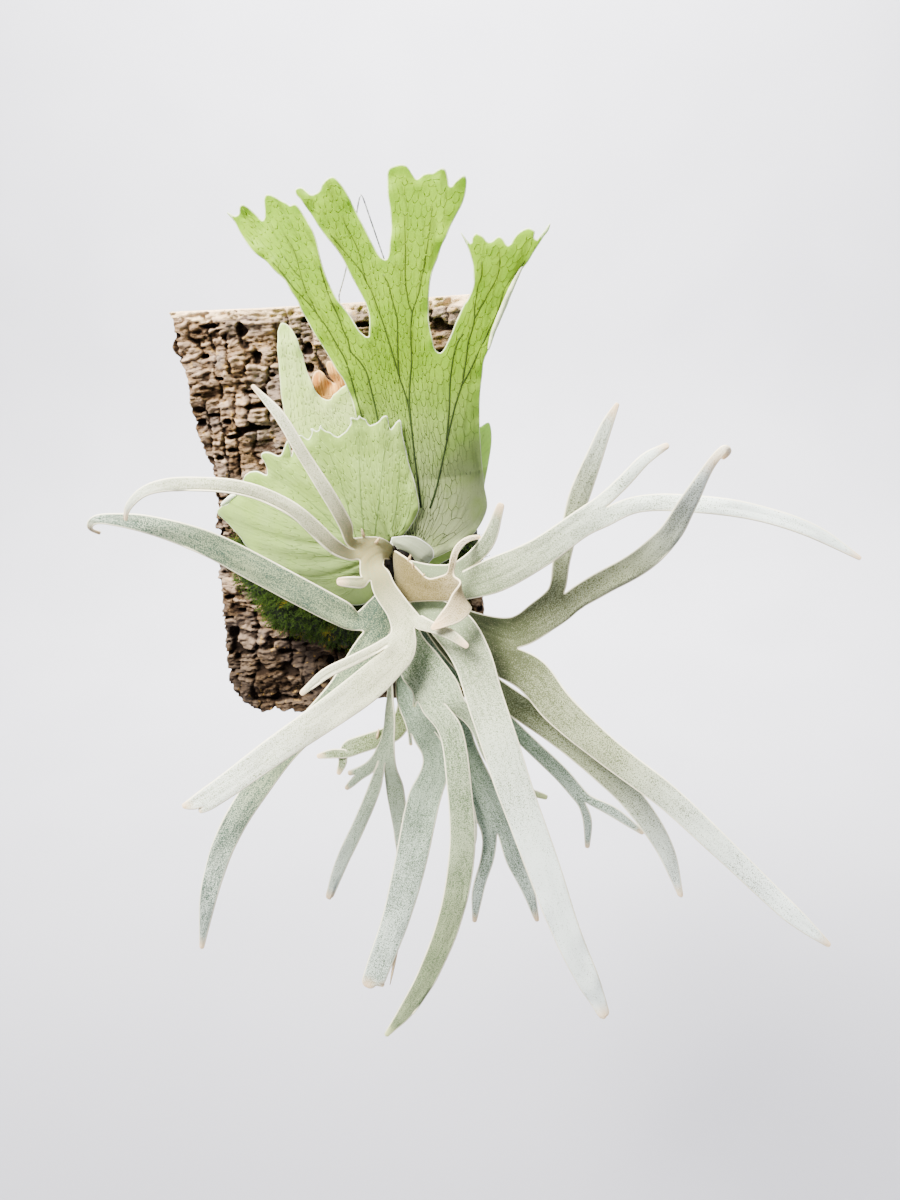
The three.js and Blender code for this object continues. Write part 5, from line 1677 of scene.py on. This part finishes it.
    def back(self, ring: Array, first: int) -> tuple[list[list[int]], Array]:
        """Fills the board's flat back, which is the smooth inner side of the bark.

        Args:
            ring: An (n, 2) array of the x and z of its edge.
            first: The number of the edge's first point; the new points follow its last.

        Returns:
            Triangles that face +Y, and the x and z of the new points.
        """
        x, z = (a.reshape(-1) for a in np.meshgrid(np.arange(-110, 110, 5.0), np.arange(-160, 160, 5.0)))
        held = [inside(ring, x + a, z + b) for a, b in ((2.5, 0), (-2.5, 0), (0, 2.5), (0, -2.5))]
        inner = np.stack([x, z], 1)[np.all(held, 0)]
        flat = [Vector(p) for p in np.vstack([ring, inner])]
        _, _, triangles, origin, *_ = delaunay_2d_cdt(flat, [], [list(range(len(ring)))], 1, 1e-6)
        corners = [[first + origin[k][0] for k in triangle] for triangle in triangles]
        return [corner[::-1] for corner in corners], inner

    def build(self) -> None:
        """Builds the board: a fine front, rough walls and a flat back."""
        columns = round((self.right[0][0] - self.left[0][0]) / self.grid[0])
        rows = round((self.top[0][1] - self.bottom[0][1]) / self.grid[1])
        u, v = np.meshgrid(np.linspace(0, 1, columns + 1), np.linspace(0, 1, rows + 1))
        x, z = (a.reshape(-1) for a in self.outline(u, v))
        plates, slabs = self.plates(x, z)
        depth = self.coarse(x, z) + self.crumble * (plates - 0.72)
        at = np.arange(len(x)).reshape(rows + 1, columns + 1)
        faces = np.stack([at[:-1, :-1], at[:-1, 1:], at[1:, 1:], at[1:, :-1]], -1).reshape(-1, 4).tolist()
        rim = np.concatenate([at[0, :-1], at[:-1, -1], at[-1, :0:-1], at[:0:-1, 0]])
        count, ring = len(rim), np.stack([x[rim], z[rim]], 1)
        outward = np.roll(ring, -1, 0) - np.roll(ring, 1, 0)
        outward = unit(np.stack([outward[:, 1], -outward[:, 0]], 1))
        length = reached(ring)
        sawn_rim = smoothstep(0.8, 0.95, outward[:, 1]) * (ring[:, 1] > 140)
        points = [np.stack([x, -depth, z], 1)]
        below_top = along(self.top, x, 0) - z
        edge = 2.5 + 4.5 * self.noise[9].at(x / 7, x * 0 + 5)
        relief, sawn = [plates], [0.9 * (1 - smoothstep(edge, edge + 1.2, below_top))]
        for row in range(1, self.wall_rows + 1):
            share = row / self.wall_rows
            y = -depth[rim] * (1 - share)
            ledge = self.noise[10].at(ring[:, 1] / 2.1 + 0.2 * ring[:, 0], y / 4.5) - 0.5
            lump = self.noise[11].at(length / 9, y / 7 + 3) - 0.5
            rough = (1.8 * lump + 1.5 * ledge) * (1 - 0.85 * sawn_rim) * math.sin(math.pi * min(share + 0.15, 1))
            wall = ring + outward * rough[:, None]
            points.append(np.stack([wall[:, 0], y, wall[:, 1]], 1))
            relief.append(np.clip(0.5 + 0.5 * ledge + 0.4 * lump, 0, 1))
            sawn.append(sawn_rim)
            above = rim if row == 1 else len(x) + (row - 2) * count + np.arange(count)
            below = len(x) + (row - 1) * count + np.arange(count)
            nexts = np.roll(np.arange(count), -1)
            faces += np.stack([above[nexts], above, below, below[nexts]], -1).tolist()
        back, places = self.back(points[-1][:, [0, 2]], len(x) + (self.wall_rows - 1) * count)
        faces += back
        points.append(np.stack([places[:, 0], 0 * places[:, 0], places[:, 1]], 1))
        relief.append(0.5 + 0.4 * self.noise[9].at(places[:, 0] / 30, places[:, 1] / 9))
        sawn.append(np.full(len(places), 0.4))
        fabric = Fabric()
        slab = np.concatenate([slabs, *[slabs[rim]] * self.wall_rows, np.full(len(places), 0.5)])
        fabric.add(np.vstack(points), faces, relief=np.concatenate(relief), sawn=np.concatenate(sawn), slab=slab)
        fabric.piece("cork_board_dressed", ["cork_board"], CorkBark().build())


@dataclass
class MossRootBall:
    """The mound of moss round the roots, with leafy shoots wherever no shield covers it."""

    centre: tuple[float, float] = (12, -21)
    radii: tuple[float, float] = (92, 72)
    depth: float = 50.0
    fullness: float = 2.6
    back: float = -22.3
    rings: int = 34
    spokes: int = 150
    shoots: int = 4200
    leaves: int = 7  # leaflets on a shoot
    shoot_length: tuple[float, float] = (3.5, 8.0)
    flank: float = 0.72  # the ring beyond which moss grows below the shields too
    cramped: float = 0.45  # how long the shoots there are, for the others' 1
    seed: int = 7
    covered: tuple = (
        (-70, 20), (-60, 6), (-50, -6), (-34, -18), (-12, -34), (14, -40), (30, -38), (64, -22),
        (80, -16), (93, -9), (103, 6), (107, 25), (110, 60), (60, 100), (-20, 64), (-50, 47),
    )

    def surface(self, ring: Array, angle: Array, noise: Lattice) -> Array:
        """Returns places on the mound.

        Args:
            ring: 1 at its rim and 0 at its crest.
            angle: The angle round it.
            noise: What roughens it.

        Returns:
            An (n, 3) array in mm.
        """
        tuft = np.sin(7 * angle + 9 * ring) * np.cos(5 * angle - 14 * ring)
        reach = ring * (1 - 0.025 * (1 + np.sin(9 * angle + 1)))
        x = self.centre[0] + self.radii[0] * reach * np.cos(angle)
        z = self.centre[1] + self.radii[1] * reach * np.sin(angle)
        lump = noise.at(x / 5 + 40, z / 5 + 40) - 0.5
        height = self.depth * np.sqrt(np.maximum(1 - ring**self.fullness, 0)) - 1.1 * (1 + tuft) + 2.0 * lump
        height = np.where(ring >= 1, 0, np.maximum(height, 0.1))
        return np.stack([x, self.back - height, z], 1)

    def build(self) -> None:
        """Builds the mound and its shoots."""
        rng, noise = np.random.default_rng(self.seed), Lattice(self.seed)
        falls = 1 - np.linspace(0, 1, self.rings, endpoint=False) ** 1.6
        ring, angle = np.meshgrid(falls, np.arange(self.spokes) * 2 * math.pi / self.spokes, indexing="ij")
        points = self.surface(ring.reshape(-1), angle.reshape(-1), noise)
        crest = np.array([[self.centre[0], self.back - self.depth, self.centre[1]]])
        at = np.arange(len(points)).reshape(self.rings, self.spokes)
        nexts = np.roll(at, -1, axis=1)
        faces = np.stack([at[:-1], nexts[:-1], nexts[1:], at[1:]], -1).reshape(-1, 4).tolist()
        faces += [[int(a), int(b), len(points)] for a, b in zip(at[-1], nexts[-1])]
        faces.append([int(i) for i in at[0][::-1]])
        fabric = Fabric()
        # the mound's surface is marked low, so it takes the painted shade colour
        fabric.add(np.vstack([points, crest]), faces, tip=0.1)

        ring = np.sqrt(rng.uniform(0.12, 0.99, self.shoots))
        angle = rng.uniform(0, 2 * math.pi, self.shoots)
        bases = self.surface(ring, angle, noise)
        step = 0.01
        over = self.surface(np.clip(ring + step, 0, 0.999), angle, noise) - self.surface(ring - step, angle, noise)
        round_it = self.surface(ring, angle + step, noise) - self.surface(ring, angle - step, noise)
        normals = unit(np.cross(round_it, over))
        normals *= np.where(normals[:, 1:2] > 0, -1, 1)
        ways = unit(normals + rng.normal(0, 0.4, bases.shape) + np.array([0, 0, -0.15]))
        lengths = rng.uniform(*self.shoot_length, self.shoots)
        tips = bases + ways * lengths[:, None]
        under = inside(self.covered, tips[:, 0], tips[:, 2]) | inside(self.covered, bases[:, 0], bases[:, 2])
        size = np.where(under, self.cramped, 1.0)
        kept = ~under | (ring > self.flank)
        bases, ways, lengths, size = bases[kept], ways[kept], (lengths * size)[kept], size[kept]
        for leaf in range(self.leaves):
            share = (leaf + 0.6) / self.leaves
            stem = bases + ways * (lengths * share)[:, None]
            aside = unit(np.cross(ways, np.array([0.2, 0.5, 0.84])))
            turn = 2.4 * leaf + rng.uniform(0, 6.28, len(bases))
            out = np.cos(turn)[:, None] * aside + np.sin(turn)[:, None] * np.cross(ways, aside)
            lean = unit(ways * (0.5 + 0.7 * share) + out)
            long = rng.uniform(1.5, 2.6, len(bases)) * (1.15 - 0.4 * share) * np.sqrt(size)
            added, leaf_faces = leaflets(stem - ways * 0.3, lean, ways, long, 0.42 * long)
            fabric.add(added, leaf_faces, tip=0.25 + 0.75 * share)
        fabric.piece("moss_root_ball_dressed", ["moss_root_ball"], CushionMoss().build())


@dataclass
class Rhizome:
    """The short stem that every frond grows from, packed in narrow scales."""

    centre: tuple[float, float, float] = (50, -80, -24)
    radii: tuple[float, float, float] = (14.5, 17, 29.5)
    rows: int = 40
    spokes: int = 56
    scales: int = 1500
    bared: tuple[float, float] = (51, -17)  # beyond this x and z the bud shield lies over the scales
    seed: int = 19

    def build(self) -> None:
        """Builds the stem and its scales."""
        rng = np.random.default_rng(self.seed)
        middle, radii = np.array(self.centre), np.array(self.radii)
        tilt, turn = np.meshgrid(
            np.linspace(0.04, math.pi - 0.04, self.rows),
            np.arange(self.spokes) * 2 * math.pi / self.spokes, indexing="ij",
        )
        ball = np.stack([np.sin(tilt) * np.cos(turn), np.sin(tilt) * np.sin(turn), np.cos(tilt)], -1).reshape(-1, 3)
        ridge = 0.9 * np.sin(5 * np.arctan2(ball[:, 1], ball[:, 0])) * np.cos(9 * ball[:, 2]) * (1 - ball[:, 2] ** 2)
        points = middle + ball * (radii + ridge[:, None])
        at = np.arange(len(points)).reshape(self.rows, self.spokes)
        nexts = np.roll(at, -1, axis=1)
        faces = np.stack([at[:-1], at[1:], nexts[1:], nexts[:-1]], -1).reshape(-1, 4).tolist()
        faces += [[int(i) for i in at[0]], [int(i) for i in at[-1][::-1]]]
        fabric = Fabric()
        fabric.add(points, faces)
        outward = unit(rng.normal(0, 1, (self.scales, 3)))
        bases = middle + outward * (radii - 0.4)
        outward = outward[(bases[:, 0] < self.bared[0]) | (bases[:, 2] < self.bared[1])]
        bases = middle + outward * (radii - 0.4)
        ways = unit(outward * 0.5 + np.array([0, -0.25, 0.7]) + rng.normal(0, 0.35, outward.shape))
        lengths = rng.uniform(3, 6.5, len(outward))
        added, scale_faces = leaflets(bases, ways, outward, lengths, rng.uniform(0.5, 1.0, len(outward)))
        fabric.add(added, scale_faces, tip=1.0)
        fabric.piece("rhizome_dressed", ["rhizome"], ScaledRhizome().build())


@dataclass
class ShieldLayer:
    """The dome over the root ball that the shield fronds lie on, each a little in front of the last."""

    centre: tuple[float, float] = (15, -12)
    radii: tuple[float, float] = (97, 74)
    base: float = 24.0
    depth: float = 52.0
    widening: float = 0.9
    widening_start: float = 40.0
    lean: float = 0.06
    lean_start: float = 60.0
    ripple: float = 0.7  # height of the gentle waves that all the layers share
    wave_noise: Lattice = field(default_factory=lambda: Lattice(23))

    def y(self, x: Array, z: Array, layer: float) -> Array:
        """Finds how deep a layer lies.

        Args:
            x: How far to the right each place is, in mm.
            z: How high.
            layer: How far the layer stands out from the first one.

        Returns:
            The y of each place.
        """
        half = self.radii[0] + self.widening * np.maximum(z - self.widening_start, 0)
        across = (x - self.centre[0]) / half
        down = np.minimum(z - self.centre[1], 0) / self.radii[1]
        bulge = np.sqrt(np.maximum(1 - across**2 - down**2, 0.04))
        lean = self.lean * np.maximum(z - self.lean_start, 0)
        wave = self.ripple * 2 * (self.wave_noise.at(x / 15 + 20, z / 34 + 20) - 0.5)
        return -(self.base + self.depth * bulge + layer + lean + wave)


@dataclass(frozen=True)
class VeinNet:
    """The net of fine veins in a shield: long cells that follow the way that the leaf grew."""

    guides: Sequence[Line]  # lines of growth in (x, z), base to margin, left to right
    across: float = 3.2  # width of a cell in mm
    along: float = 8.5  # length of a cell in mm
    radius: float = 0.24
    shown: float = 0.5  # how dark the veins are
    fading: float = 0.65  # how much fainter they are at the margin
    sunk: float = 0.06  # how deep the middle of a vein lies under the surface

    def lines(self) -> Array:
        """Spreads places evenly along the guides.

        Returns:
            A (guides, stations, 2) array.
        """
        stations = np.linspace(0, 1, 60)
        even = []
        for line in (smooth_route(guide, 1.0) for guide in self.guides):
            share = reached(line) / reached(line)[-1]
            even.append(np.stack([np.interp(stations, share, line[:, k]) for k in (0, 1)], 1))
        return np.array(even)

    def place(self, lines: Array, u: Array, v: Array) -> Array:
        """Finds places on the leaf.

        Args:
            lines: The guides' places.
            u: From the first guide, 0, to the last, 1.
            v: From the leaf's base, 0, to its margin, 1.

        Returns:
            An (n, 2) array of x and z.
        """
        s = np.clip(u, 0, 1) * (len(lines) - 1)
        t = np.clip(v, 0, 1) * (lines.shape[1] - 1)
        i, j = np.minimum(s.astype(int), len(lines) - 2), np.minimum(t.astype(int), lines.shape[1] - 2)
        s, t = (s - i)[:, None], (t - j)[:, None]
        near = lines[i, j] * (1 - t) + lines[i, j + 1] * t
        far = lines[i + 1, j] * (1 - t) + lines[i + 1, j + 1] * t
        return near * (1 - s) + far * s

    def breadth(self, lines: Array, v: float) -> float:
        """Returns how broad the leaf is at v."""
        return float(reached(self.place(lines, np.linspace(0, 1, 40), np.full(40, v)))[-1])

    def strike(self, leaf: Leaf) -> None:
        """Works out where each of a leaf's points lies across and along the growth.

        Args:
            leaf: The leaf, still flat.
        """
        lines = self.lines()
        u, v = (a.reshape(-1) for a in np.meshgrid(np.linspace(0, 1, 90), np.linspace(0, 1, 90)))
        grid = self.place(lines, u, v)
        tree = lookup([(x, 0, z) for x, z in grid])
        width = reached(lines[:, 40])[-1]
        length = np.linalg.norm(np.diff(lines, axis=1), axis=2).sum(1).mean()
        for k, point in enumerate(leaf.points):
            found = tree.find_n((point[0], 0, point[2]), 4)
            weights = np.array([1 / (0.05 + near[2]) ** 2 for near in found])
            nearest = [near[1] for near in found]
            leaf.across[k] = (u[nearest] * weights).sum() / weights.sum() * width
            leaf.run[k] = (v[nearest] * weights).sum() / weights.sum() * length

    def routes(self, rng: np.random.Generator) -> tuple[Array, Array]:
        """Runs veins between the cells of the net.

        Args:
            rng: Seeded random numbers.

        Returns:
            An (n, 3, 2) array of each vein's ends and middle, and how dark each is.
        """
        lines = self.lines()
        length = np.linalg.norm(np.diff(lines, axis=1), axis=2).sum(1).mean()
        seeds = []
        rows = round(1.15 * length / self.along)
        for row in range(1, rows + 1):
            v = row / rows
            count = max(2, round(self.breadth(lines, v) / self.across))
            u = (np.arange(count) + 0.5 * (row % 2) + rng.uniform(-0.34, 0.34, count)) / count
            seeds += [(float(a), float(b)) for a, b in zip(u, v + rng.uniform(-0.45, 0.45, count) / rows)]
        stretch = np.array([self.breadth(lines, 0.6) / self.across, length / self.along])
        scaled = [Vector((u * stretch[0], v * stretch[1])) for u, v in seeds]
        places, _, triangles, *_ = delaunay_2d_cdt(scaled, [], [], 0, 1e-6)
        places = np.array([list(p) for p in places]) / stretch
        middles = places[np.array(triangles)].mean(1)
        owner, pairs = {}, []
        for index, (a, b, c) in enumerate(triangles):
            for side in ((a, b), (b, c), (c, a)):
                key = (min(side), max(side))
                if key in owner:
                    pairs.append((owner[key], index))
                owner[key] = index
        ends = middles[np.array(pairs)]
        track = np.stack([ends[:, 0], ends.mean(1), ends[:, 1]], 1)
        shown = self.shown * rng.uniform(0.55, 1.2, len(track)) * (1.15 - self.fading * track[:, 1, 1])
        return self.place(lines, track[..., 0].reshape(-1), track[..., 1].reshape(-1)).reshape(-1, 3, 2), shown


@dataclass
class ShieldFrond:
    """A shield frond: one thin leaf that clasps the root ball."""

    name: str
    layer: float
    slot: str
    finish: Any
    blade: Optional[Blade] = None
    outline: Line = ()
    net: Optional[VeinNet] = None
    veins: Sequence[Line] = ()
    rolls: Sequence[Line] = ()  # stretches of margin that roll over
    bends: Sequence[tuple[float, float, float, float]] = ()  # x, z, radius and depth of each hollow
    thickness: float = 1.2
    edge: float = 0.45  # the share of that which is left at the margin
    taper: float = 3.0  # how far in it is full
    hairs: tuple[float, float] = (1.2, 0.7)  # how many to each mm of margin, and how long
    clear: float = 1.6  # how far from the margin the net of veins ends
    vein_radius: tuple[float, float] = (1.0, 0.68)
    vein_shown: tuple[float, float] = (1.0, 0.75)
    curl: float = 1.1  # how far the margin waves in and out
    crease: float = 0.0  # height of the folds that run out from the base
    seed: int = 3
    dome: ShieldLayer = field(default_factory=ShieldLayer)
    spacing: float = 1.15
    rim_step: float = 0.9
    cup: float = 0.0  # how far the middle of the leaf stands out in front of its layer

    VEIN_SIDES = 8

    def flat(self) -> Leaf:
        """Cuts or grows the leaf.

        Returns:
            The leaf, still flat.
        """
        if self.blade:
            return Leaf.grown(Growth(crown=0.0).grow(self.blade), 2)
        leaf = Leaf.cut(smooth_route([*self.outline, self.outline[0]], self.rim_step)[:-1], self.spacing)
        self.net.strike(leaf)
        return leaf

    def hollow(self, x: Array, z: Array) -> Array:
        """Adds up the leaf's hollows.

        Args:
            x: How far to the right each point is, in mm.
            z: How high.

        Returns:
            How far it is bent back there.
        """
        total = np.zeros_like(x)
        for at_x, at_z, radius, depth in self.bends:
            total += depth * np.exp(-((x - at_x) ** 2 + (z - at_z) ** 2) / radius**2)
        return total

    def bend(self, leaf: Leaf) -> Array:
        """Bends a flat leaf onto its layer.

        Args:
            leaf: The leaf.

        Returns:
            How far each point stands off the layer.
        """
        noise = Lattice(self.seed)
        x, z = leaf.points[:, 0].copy(), leaf.points[:, 2].copy()
        leaf.points[:, 1] = self.dome.y(x, z, self.layer)
        leaf.measure()
        near_edge = 1 - smoothstep(0, 9, leaf.margin)
        off = self.hollow(x, z) - self.cup * smoothstep(0, 7, leaf.margin)
        off -= self.curl * 2 * (noise.at(x / 8 + 30, z / 8 + 30) - 0.5) * near_edge
        off -= self.crease * 2 * (noise.at(leaf.across / 9, leaf.run / 90 + 5) - 0.5)
        leaf.points[:, 1] += off
        return off

    def build(self) -> None:
        """Bends the leaf onto its layer, waves its margin and adds its veins and hairs."""
        rng = np.random.default_rng(self.seed)
        leaf = self.flat()
        tree = lookup(leaf.points.copy())
        off = self.bend(leaf)

        def lay(places: Array) -> tuple[Array, Array]:
            """Lays places on the bent leaf.

            Args:
                places: Their x and z.

            Returns:
                Where they lie, and how far in from its margin.
            """
            near = [tree.find((x, 0, z)) for x, z in places]
            index = [found[1] for found in near]
            y = self.dome.y(places[:, 0], places[:, 1], self.layer) + off[index]
            apart = np.array([found[2] for found in near])
            return np.stack([places[:, 0], y, places[:, 1]], 1), leaf.margin[index] - 4 * (apart > 1.2)

        fabric = Fabric()
        leaf.shell(fabric, self.thickness, self.edge, self.taper)
        reach = max([math.dist(vein[-1], self.veins[0][0]) for vein in self.veins], default=1.0)
        for vein in self.veins:
            route, _ = lay(smooth_route(vein, 2.0))
            share = np.hypot(route[:, 0] - self.veins[0][0][0], route[:, 2] - self.veins[0][0][1]) / reach
            (thick, thin), (dark, pale) = self.vein_radius, self.vein_shown
            points, faces = strands(route[None], thick + (thin - thick) * share, self.VEIN_SIDES)
            shown = np.repeat(dark + (pale - dark) * share, self.VEIN_SIDES)
            fabric.add(points, faces, vein=shown, upper=1.0, margin=9.0)
        for roll in self.rolls:
            route, _ = lay(smooth_route(roll, 1.0))
            radii = 0.5 + 1.3 * np.sin(math.pi * np.linspace(0, 1, len(route))) ** 0.5
            points, faces = strands(route[None], radii, self.VEIN_SIDES)
            fabric.add(points, faces, hair=1.0, upper=1.0, margin=0.0)
        if self.net:
            routes, shown = self.net.routes(rng)
            placed, margin = lay(routes.reshape(-1, 2))
            placed[:, 1] -= self.thickness / 2 - self.net.sunk
            kept = margin.reshape(-1, 3).min(1) > self.clear
            points, faces = strands(placed.reshape(-1, 3, 3)[kept], self.net.radius)
            shown = np.repeat(shown[kept], len(points) // max(int(kept.sum()), 1))
            fabric.add(points, faces, vein=shown, upper=1.0, margin=9.0)
        leaf.fringe(fabric, rng, *self.hairs)
        fabric.piece(f"{self.name}_dressed", [self.name], self.finish.build())


@dataclass
class AntlerFrond:
    """A fertile frond: one felted strap that forks like an antler."""

    name: str
    blade: Blade
    slot: str
    finish: FeltedLeaf
    seed: int
    spurs: Sequence[Line] = ()  # little teeth on the margin: base and tip of each
    tip_reach: float = 14.0
    thickness: float = 1.4
    edge: float = 0.66  # the share of that which is left at the margin
    taper: float = 1.6  # how far in it is full
    hairs: tuple[float, float] = (1.6, 0.55)  # how many to each mm of margin, and how long
    spur: tuple[float, float] = (1.2, 0.22)  # a tooth's radius, at most, and as a share of its length
    spur_taper: tuple[float, ...] = (1, 0.9, 0.7, 0.2)
    wave: float = 0.9  # how far the margins wave up and down
    dimple: float = 0.35  # height of the low swellings over the blade
    rib: float = 0.16  # height of the veins under the felt

    def build(self) -> None:
        """Builds the frond."""
        rng, noise = np.random.default_rng(self.seed), Lattice(self.seed)
        growth = Growth().grow(self.blade)
        leaf = Leaf.grown(growth, 2)
        edge = 1 - smoothstep(0, 7, leaf.margin)
        side = np.where(leaf.across > 0, 60.0, 10.0)
        waves = noise.at(leaf.run / 17, side) - 0.5
        dimples = noise.at(leaf.across / 7 + 100, leaf.run / 13) - 0.5
        ribs = noise.at(leaf.across / 1.9 + 50, leaf.run / 70) - 0.5
        lift = 2 * (self.wave * waves * edge + self.dimple * dimples + self.rib * ribs * (1 - edge))
        leaf.points += leaf.normals() * lift[:, None]
        fabric = Fabric()
        tips = leaf.near_tips(growth.tips, self.tip_reach)
        leaf.shell(fabric, self.thickness, self.edge, self.taper, tip=tips)
        for base, tip in self.spurs:
            radii = min(self.spur[0], self.spur[1] * math.dist(base, tip)) * np.array(self.spur_taper)
            points, faces = strands(np.linspace(base, tip, len(radii))[None], radii, 8)
            fabric.add(points, faces, tip=0.8, upper=1.0, margin=2.0)
        leaf.fringe(fabric, rng, *self.hairs)
        fabric.piece(f"{self.name}_dressed", [self.name], self.finish.build())


# ---- Studio ----


@dataclass
class StudioCamera:
    """The camera, where the photographer stood: a little to the right, looking down at the fern."""

    place: tuple[float, float, float] = (0.131, -0.644, 0.164)
    yaw: float = -5.0  # degrees, to the right of +Y
    pitch: float = -19.9
    roll: float = -3.5
    lens: float = 27.03  # 901 pixels on a picture 1200 high
    film: float = 36.0

    def build(self) -> None:
        """Builds the camera and makes it the scene's."""
        yaw, pitch, roll = (math.radians(a) for a in (self.yaw, self.pitch, self.roll))
        ahead = Vector((math.sin(yaw) * math.cos(pitch), math.cos(yaw) * math.cos(pitch), math.sin(pitch)))
        level = Vector((math.cos(yaw), -math.sin(yaw), 0))
        upright = level.cross(ahead)
        right = level * math.cos(roll) + upright * math.sin(roll)
        up = upright * math.cos(roll) - level * math.sin(roll)
        data = bpy.data.cameras.new("studio_camera")
        data.sensor_width = self.film
        data.lens = self.lens
        data.clip_start = 0.01
        camera = put("studio_camera", data)
        camera.matrix_world = Matrix.Translation(self.place) @ Matrix((right, up, -ahead)).transposed().to_4x4()
        bpy.context.scene.camera = camera


@dataclass(frozen=True)
class SoftBox:
    """A square soft light."""

    name: str
    place: tuple[float, float, float]
    size: float
    watts: float
    colour: str = "ffffff"
    aim: tuple[float, float, float] = (0.04, -0.1, 0.0)

    def build(self) -> None:
        """Builds the light."""
        data = bpy.data.lights.new(self.name, "AREA")
        data.size = self.size
        data.energy = self.watts
        data.color = linear(self.colour)[:3]
        light = put(self.name, data)
        light.location = self.place
        towards = Vector(self.aim) - Vector(self.place)
        light.rotation_euler = towards.to_track_quat("-Z", "Y").to_euler()


@dataclass
class Studio:
    """A plain pale floor that sweeps up far behind the fern, and soft light from all round."""

    floor: float = -0.95
    front: float = -3.2
    back: float = 1.5
    bend: float = 0.9
    top: float = 3.2
    half_width: float = 4.0
    sky: str = "e9e8ee"
    sky_strength: float = 0.3
    lights: tuple[SoftBox, ...] = (
        SoftBox("key", (-0.75, -0.95, 1.6), 0.8, 300.0, "fffbf2"),
        SoftBox("fill", (1.2, -1.3, 0.1), 1.4, 12.0, "f8f8ff"),
        SoftBox("glow", (0.3, 0.9, 1.3), 1.0, 50.0, "fffbe8"),
        SoftBox("wash", (0.0, 0.7, 2.6), 2.0, 400.0, "ffffff", (0.0, 2.4, 0.2)),
    )

    def build(self) -> None:
        """Builds the sweep, the sky and the lights."""
        turns = np.linspace(0, math.pi / 2, 24)
        profile = [(self.front, self.floor)]
        profile += [
            (self.back + self.bend * math.sin(t), self.floor + self.bend * (1 - math.cos(t))) for t in turns
        ]
        profile.append((self.back + self.bend, self.top))
        points = [(x, y, z) for y, z in profile for x in (-self.half_width, self.half_width)]
        faces = [[2 * i, 2 * i + 1, 2 * i + 3, 2 * i + 2] for i in range(len(profile) - 1)]
        mesh = bpy.data.meshes.new("floor")
        mesh.from_pydata(points, [], faces)
        mesh.shade_smooth()
        mesh.materials.append(StudioPaper().build())
        put("floor", mesh)
        world = bpy.data.worlds.new("sky")
        world.use_nodes = True
        sky = world.node_tree.nodes["Background"]
        sky.inputs["Color"].default_value = linear(self.sky)
        sky.inputs["Strength"].default_value = self.sky_strength
        bpy.context.scene.world = world
        for light in self.lights:
            light.build()
        log.info("studio: %d lights", len(self.lights))


# ---- The whole ----


SHIELDS = [
    ShieldFrond(
        "tall_shield", 7.5, "green_shield",
        ShieldLeaf("green_shield_leaf", "7aa20c", "92b81c", "b0ba8c", "2a3c1a", bloom_and_shade_low=-5, bloom_and_shade_high=125),
        outline=TALL_OUTLINE, net=VeinNet(TALL_GROWTH, 3.2, 9.0, shown=0.95, fading=1.0), veins=TALL_VEINS, seed=31,
        bends=[(-25, 200, 26, 7), (22, 210, 16, -3), (140, 180, 22, -5), (85, 215, 26, 3), (62, 100, 22, 2)],
        curl=1.6, rolls=TALL_ROLL,
    ),
    ShieldFrond(
        "finger_shield", 4.5, "pale_shield",
        ShieldLeaf("finger_shield_leaf", "cce67c", "dcf098", "c0d886", "7a984e", bloom_and_shade_low=0, bloom_and_shade_high=100),
        outline=FINGER_OUTLINE, net=VeinNet(FINGER_GROWTH, 3.4, 9.0, shown=0.6), veins=FINGER_VEINS, seed=32,
        vein_radius=(0.75, 0.6), vein_shown=(0.5, 0.3),
    ),
    ShieldFrond(
        "brown_shield", 1.5, "dry_shield", DryShieldLeaf(), outline=BROWN_OUTLINE,
        net=VeinNet(BROWN_GROWTH, 4.0, 9.0, shown=0.4), seed=33,
        bends=[(16, 104, 4, 3), (8.5, 105, 5, -3.5), (19, 112, 4, -1.5)],
    ),
    ShieldFrond(
        "bud_shield", 17.5, "felted_shield",
        ShieldLeaf("bud_shield_leaf", "8d9878", "98a384", "a2aa90", "78835e", margin="f8f8f0", glow=0.1),
        blade=BUD_SHIELD, seed=34, cup=3.0,
    ),
    ShieldFrond(
        "round_shield", 10.5, "pale_shield",
        # its low colour, darker than the leaf, is painted shade on the lower lobes
        ShieldLeaf(
            "round_shield_leaf", "98b852", "aac868", "7e9258", "5c763c", margin="f2f7dc",
            bloom_and_shade_low=-35, bloom_and_shade_high=55, glow=0.2,
        ),
        outline=ROUND_OUTLINE, net=VeinNet(ROUND_GROWTH, 4.2, 13.0, shown=0.3), veins=ROUND_VEINS,
        vein_radius=(0.85, 0.64), vein_shown=(0.75, 0.4), rolls=ROUND_ROLL, crease=1.0, curl=1.5, seed=35,
    ),
    ShieldFrond(
        "right_shield", 1.5, "pale_shield",
        ShieldLeaf("right_shield_leaf", "a4c65c", "b6d672", "a8c070", "7c965a", margin="f2f7dc", glow=0.35),
        outline=RIGHT_OUTLINE, net=VeinNet(RIGHT_GROWTH, 4.2, 12.0, shown=0.25), crease=0.4, seed=36,
    ),
]


def main() -> None:
    """Builds the camera, the wire and then every other piece and the studio."""
    logging.basicConfig(level=logging.INFO, format="%(name)s: %(message)s")
    StudioCamera().build()
    HangerWire().build()
    CorkBoard().build()
    MossRootBall().build()
    Rhizome().build()
    for shield in SHIELDS:
        shield.build()
    for seed, (name, (felt, blade)) in enumerate(FERTILE_FRONDS.items()):
        slot = "felted_frond" if felt in (Felt.CREAM, Felt.TAN) else "frond"  # the youngest are still wholly felted
        AntlerFrond(name, blade, slot, felt.value, 100 + seed, SPURS.get(name, ())).build()
    Studio().build()


if __name__ == "__main__":
    main()
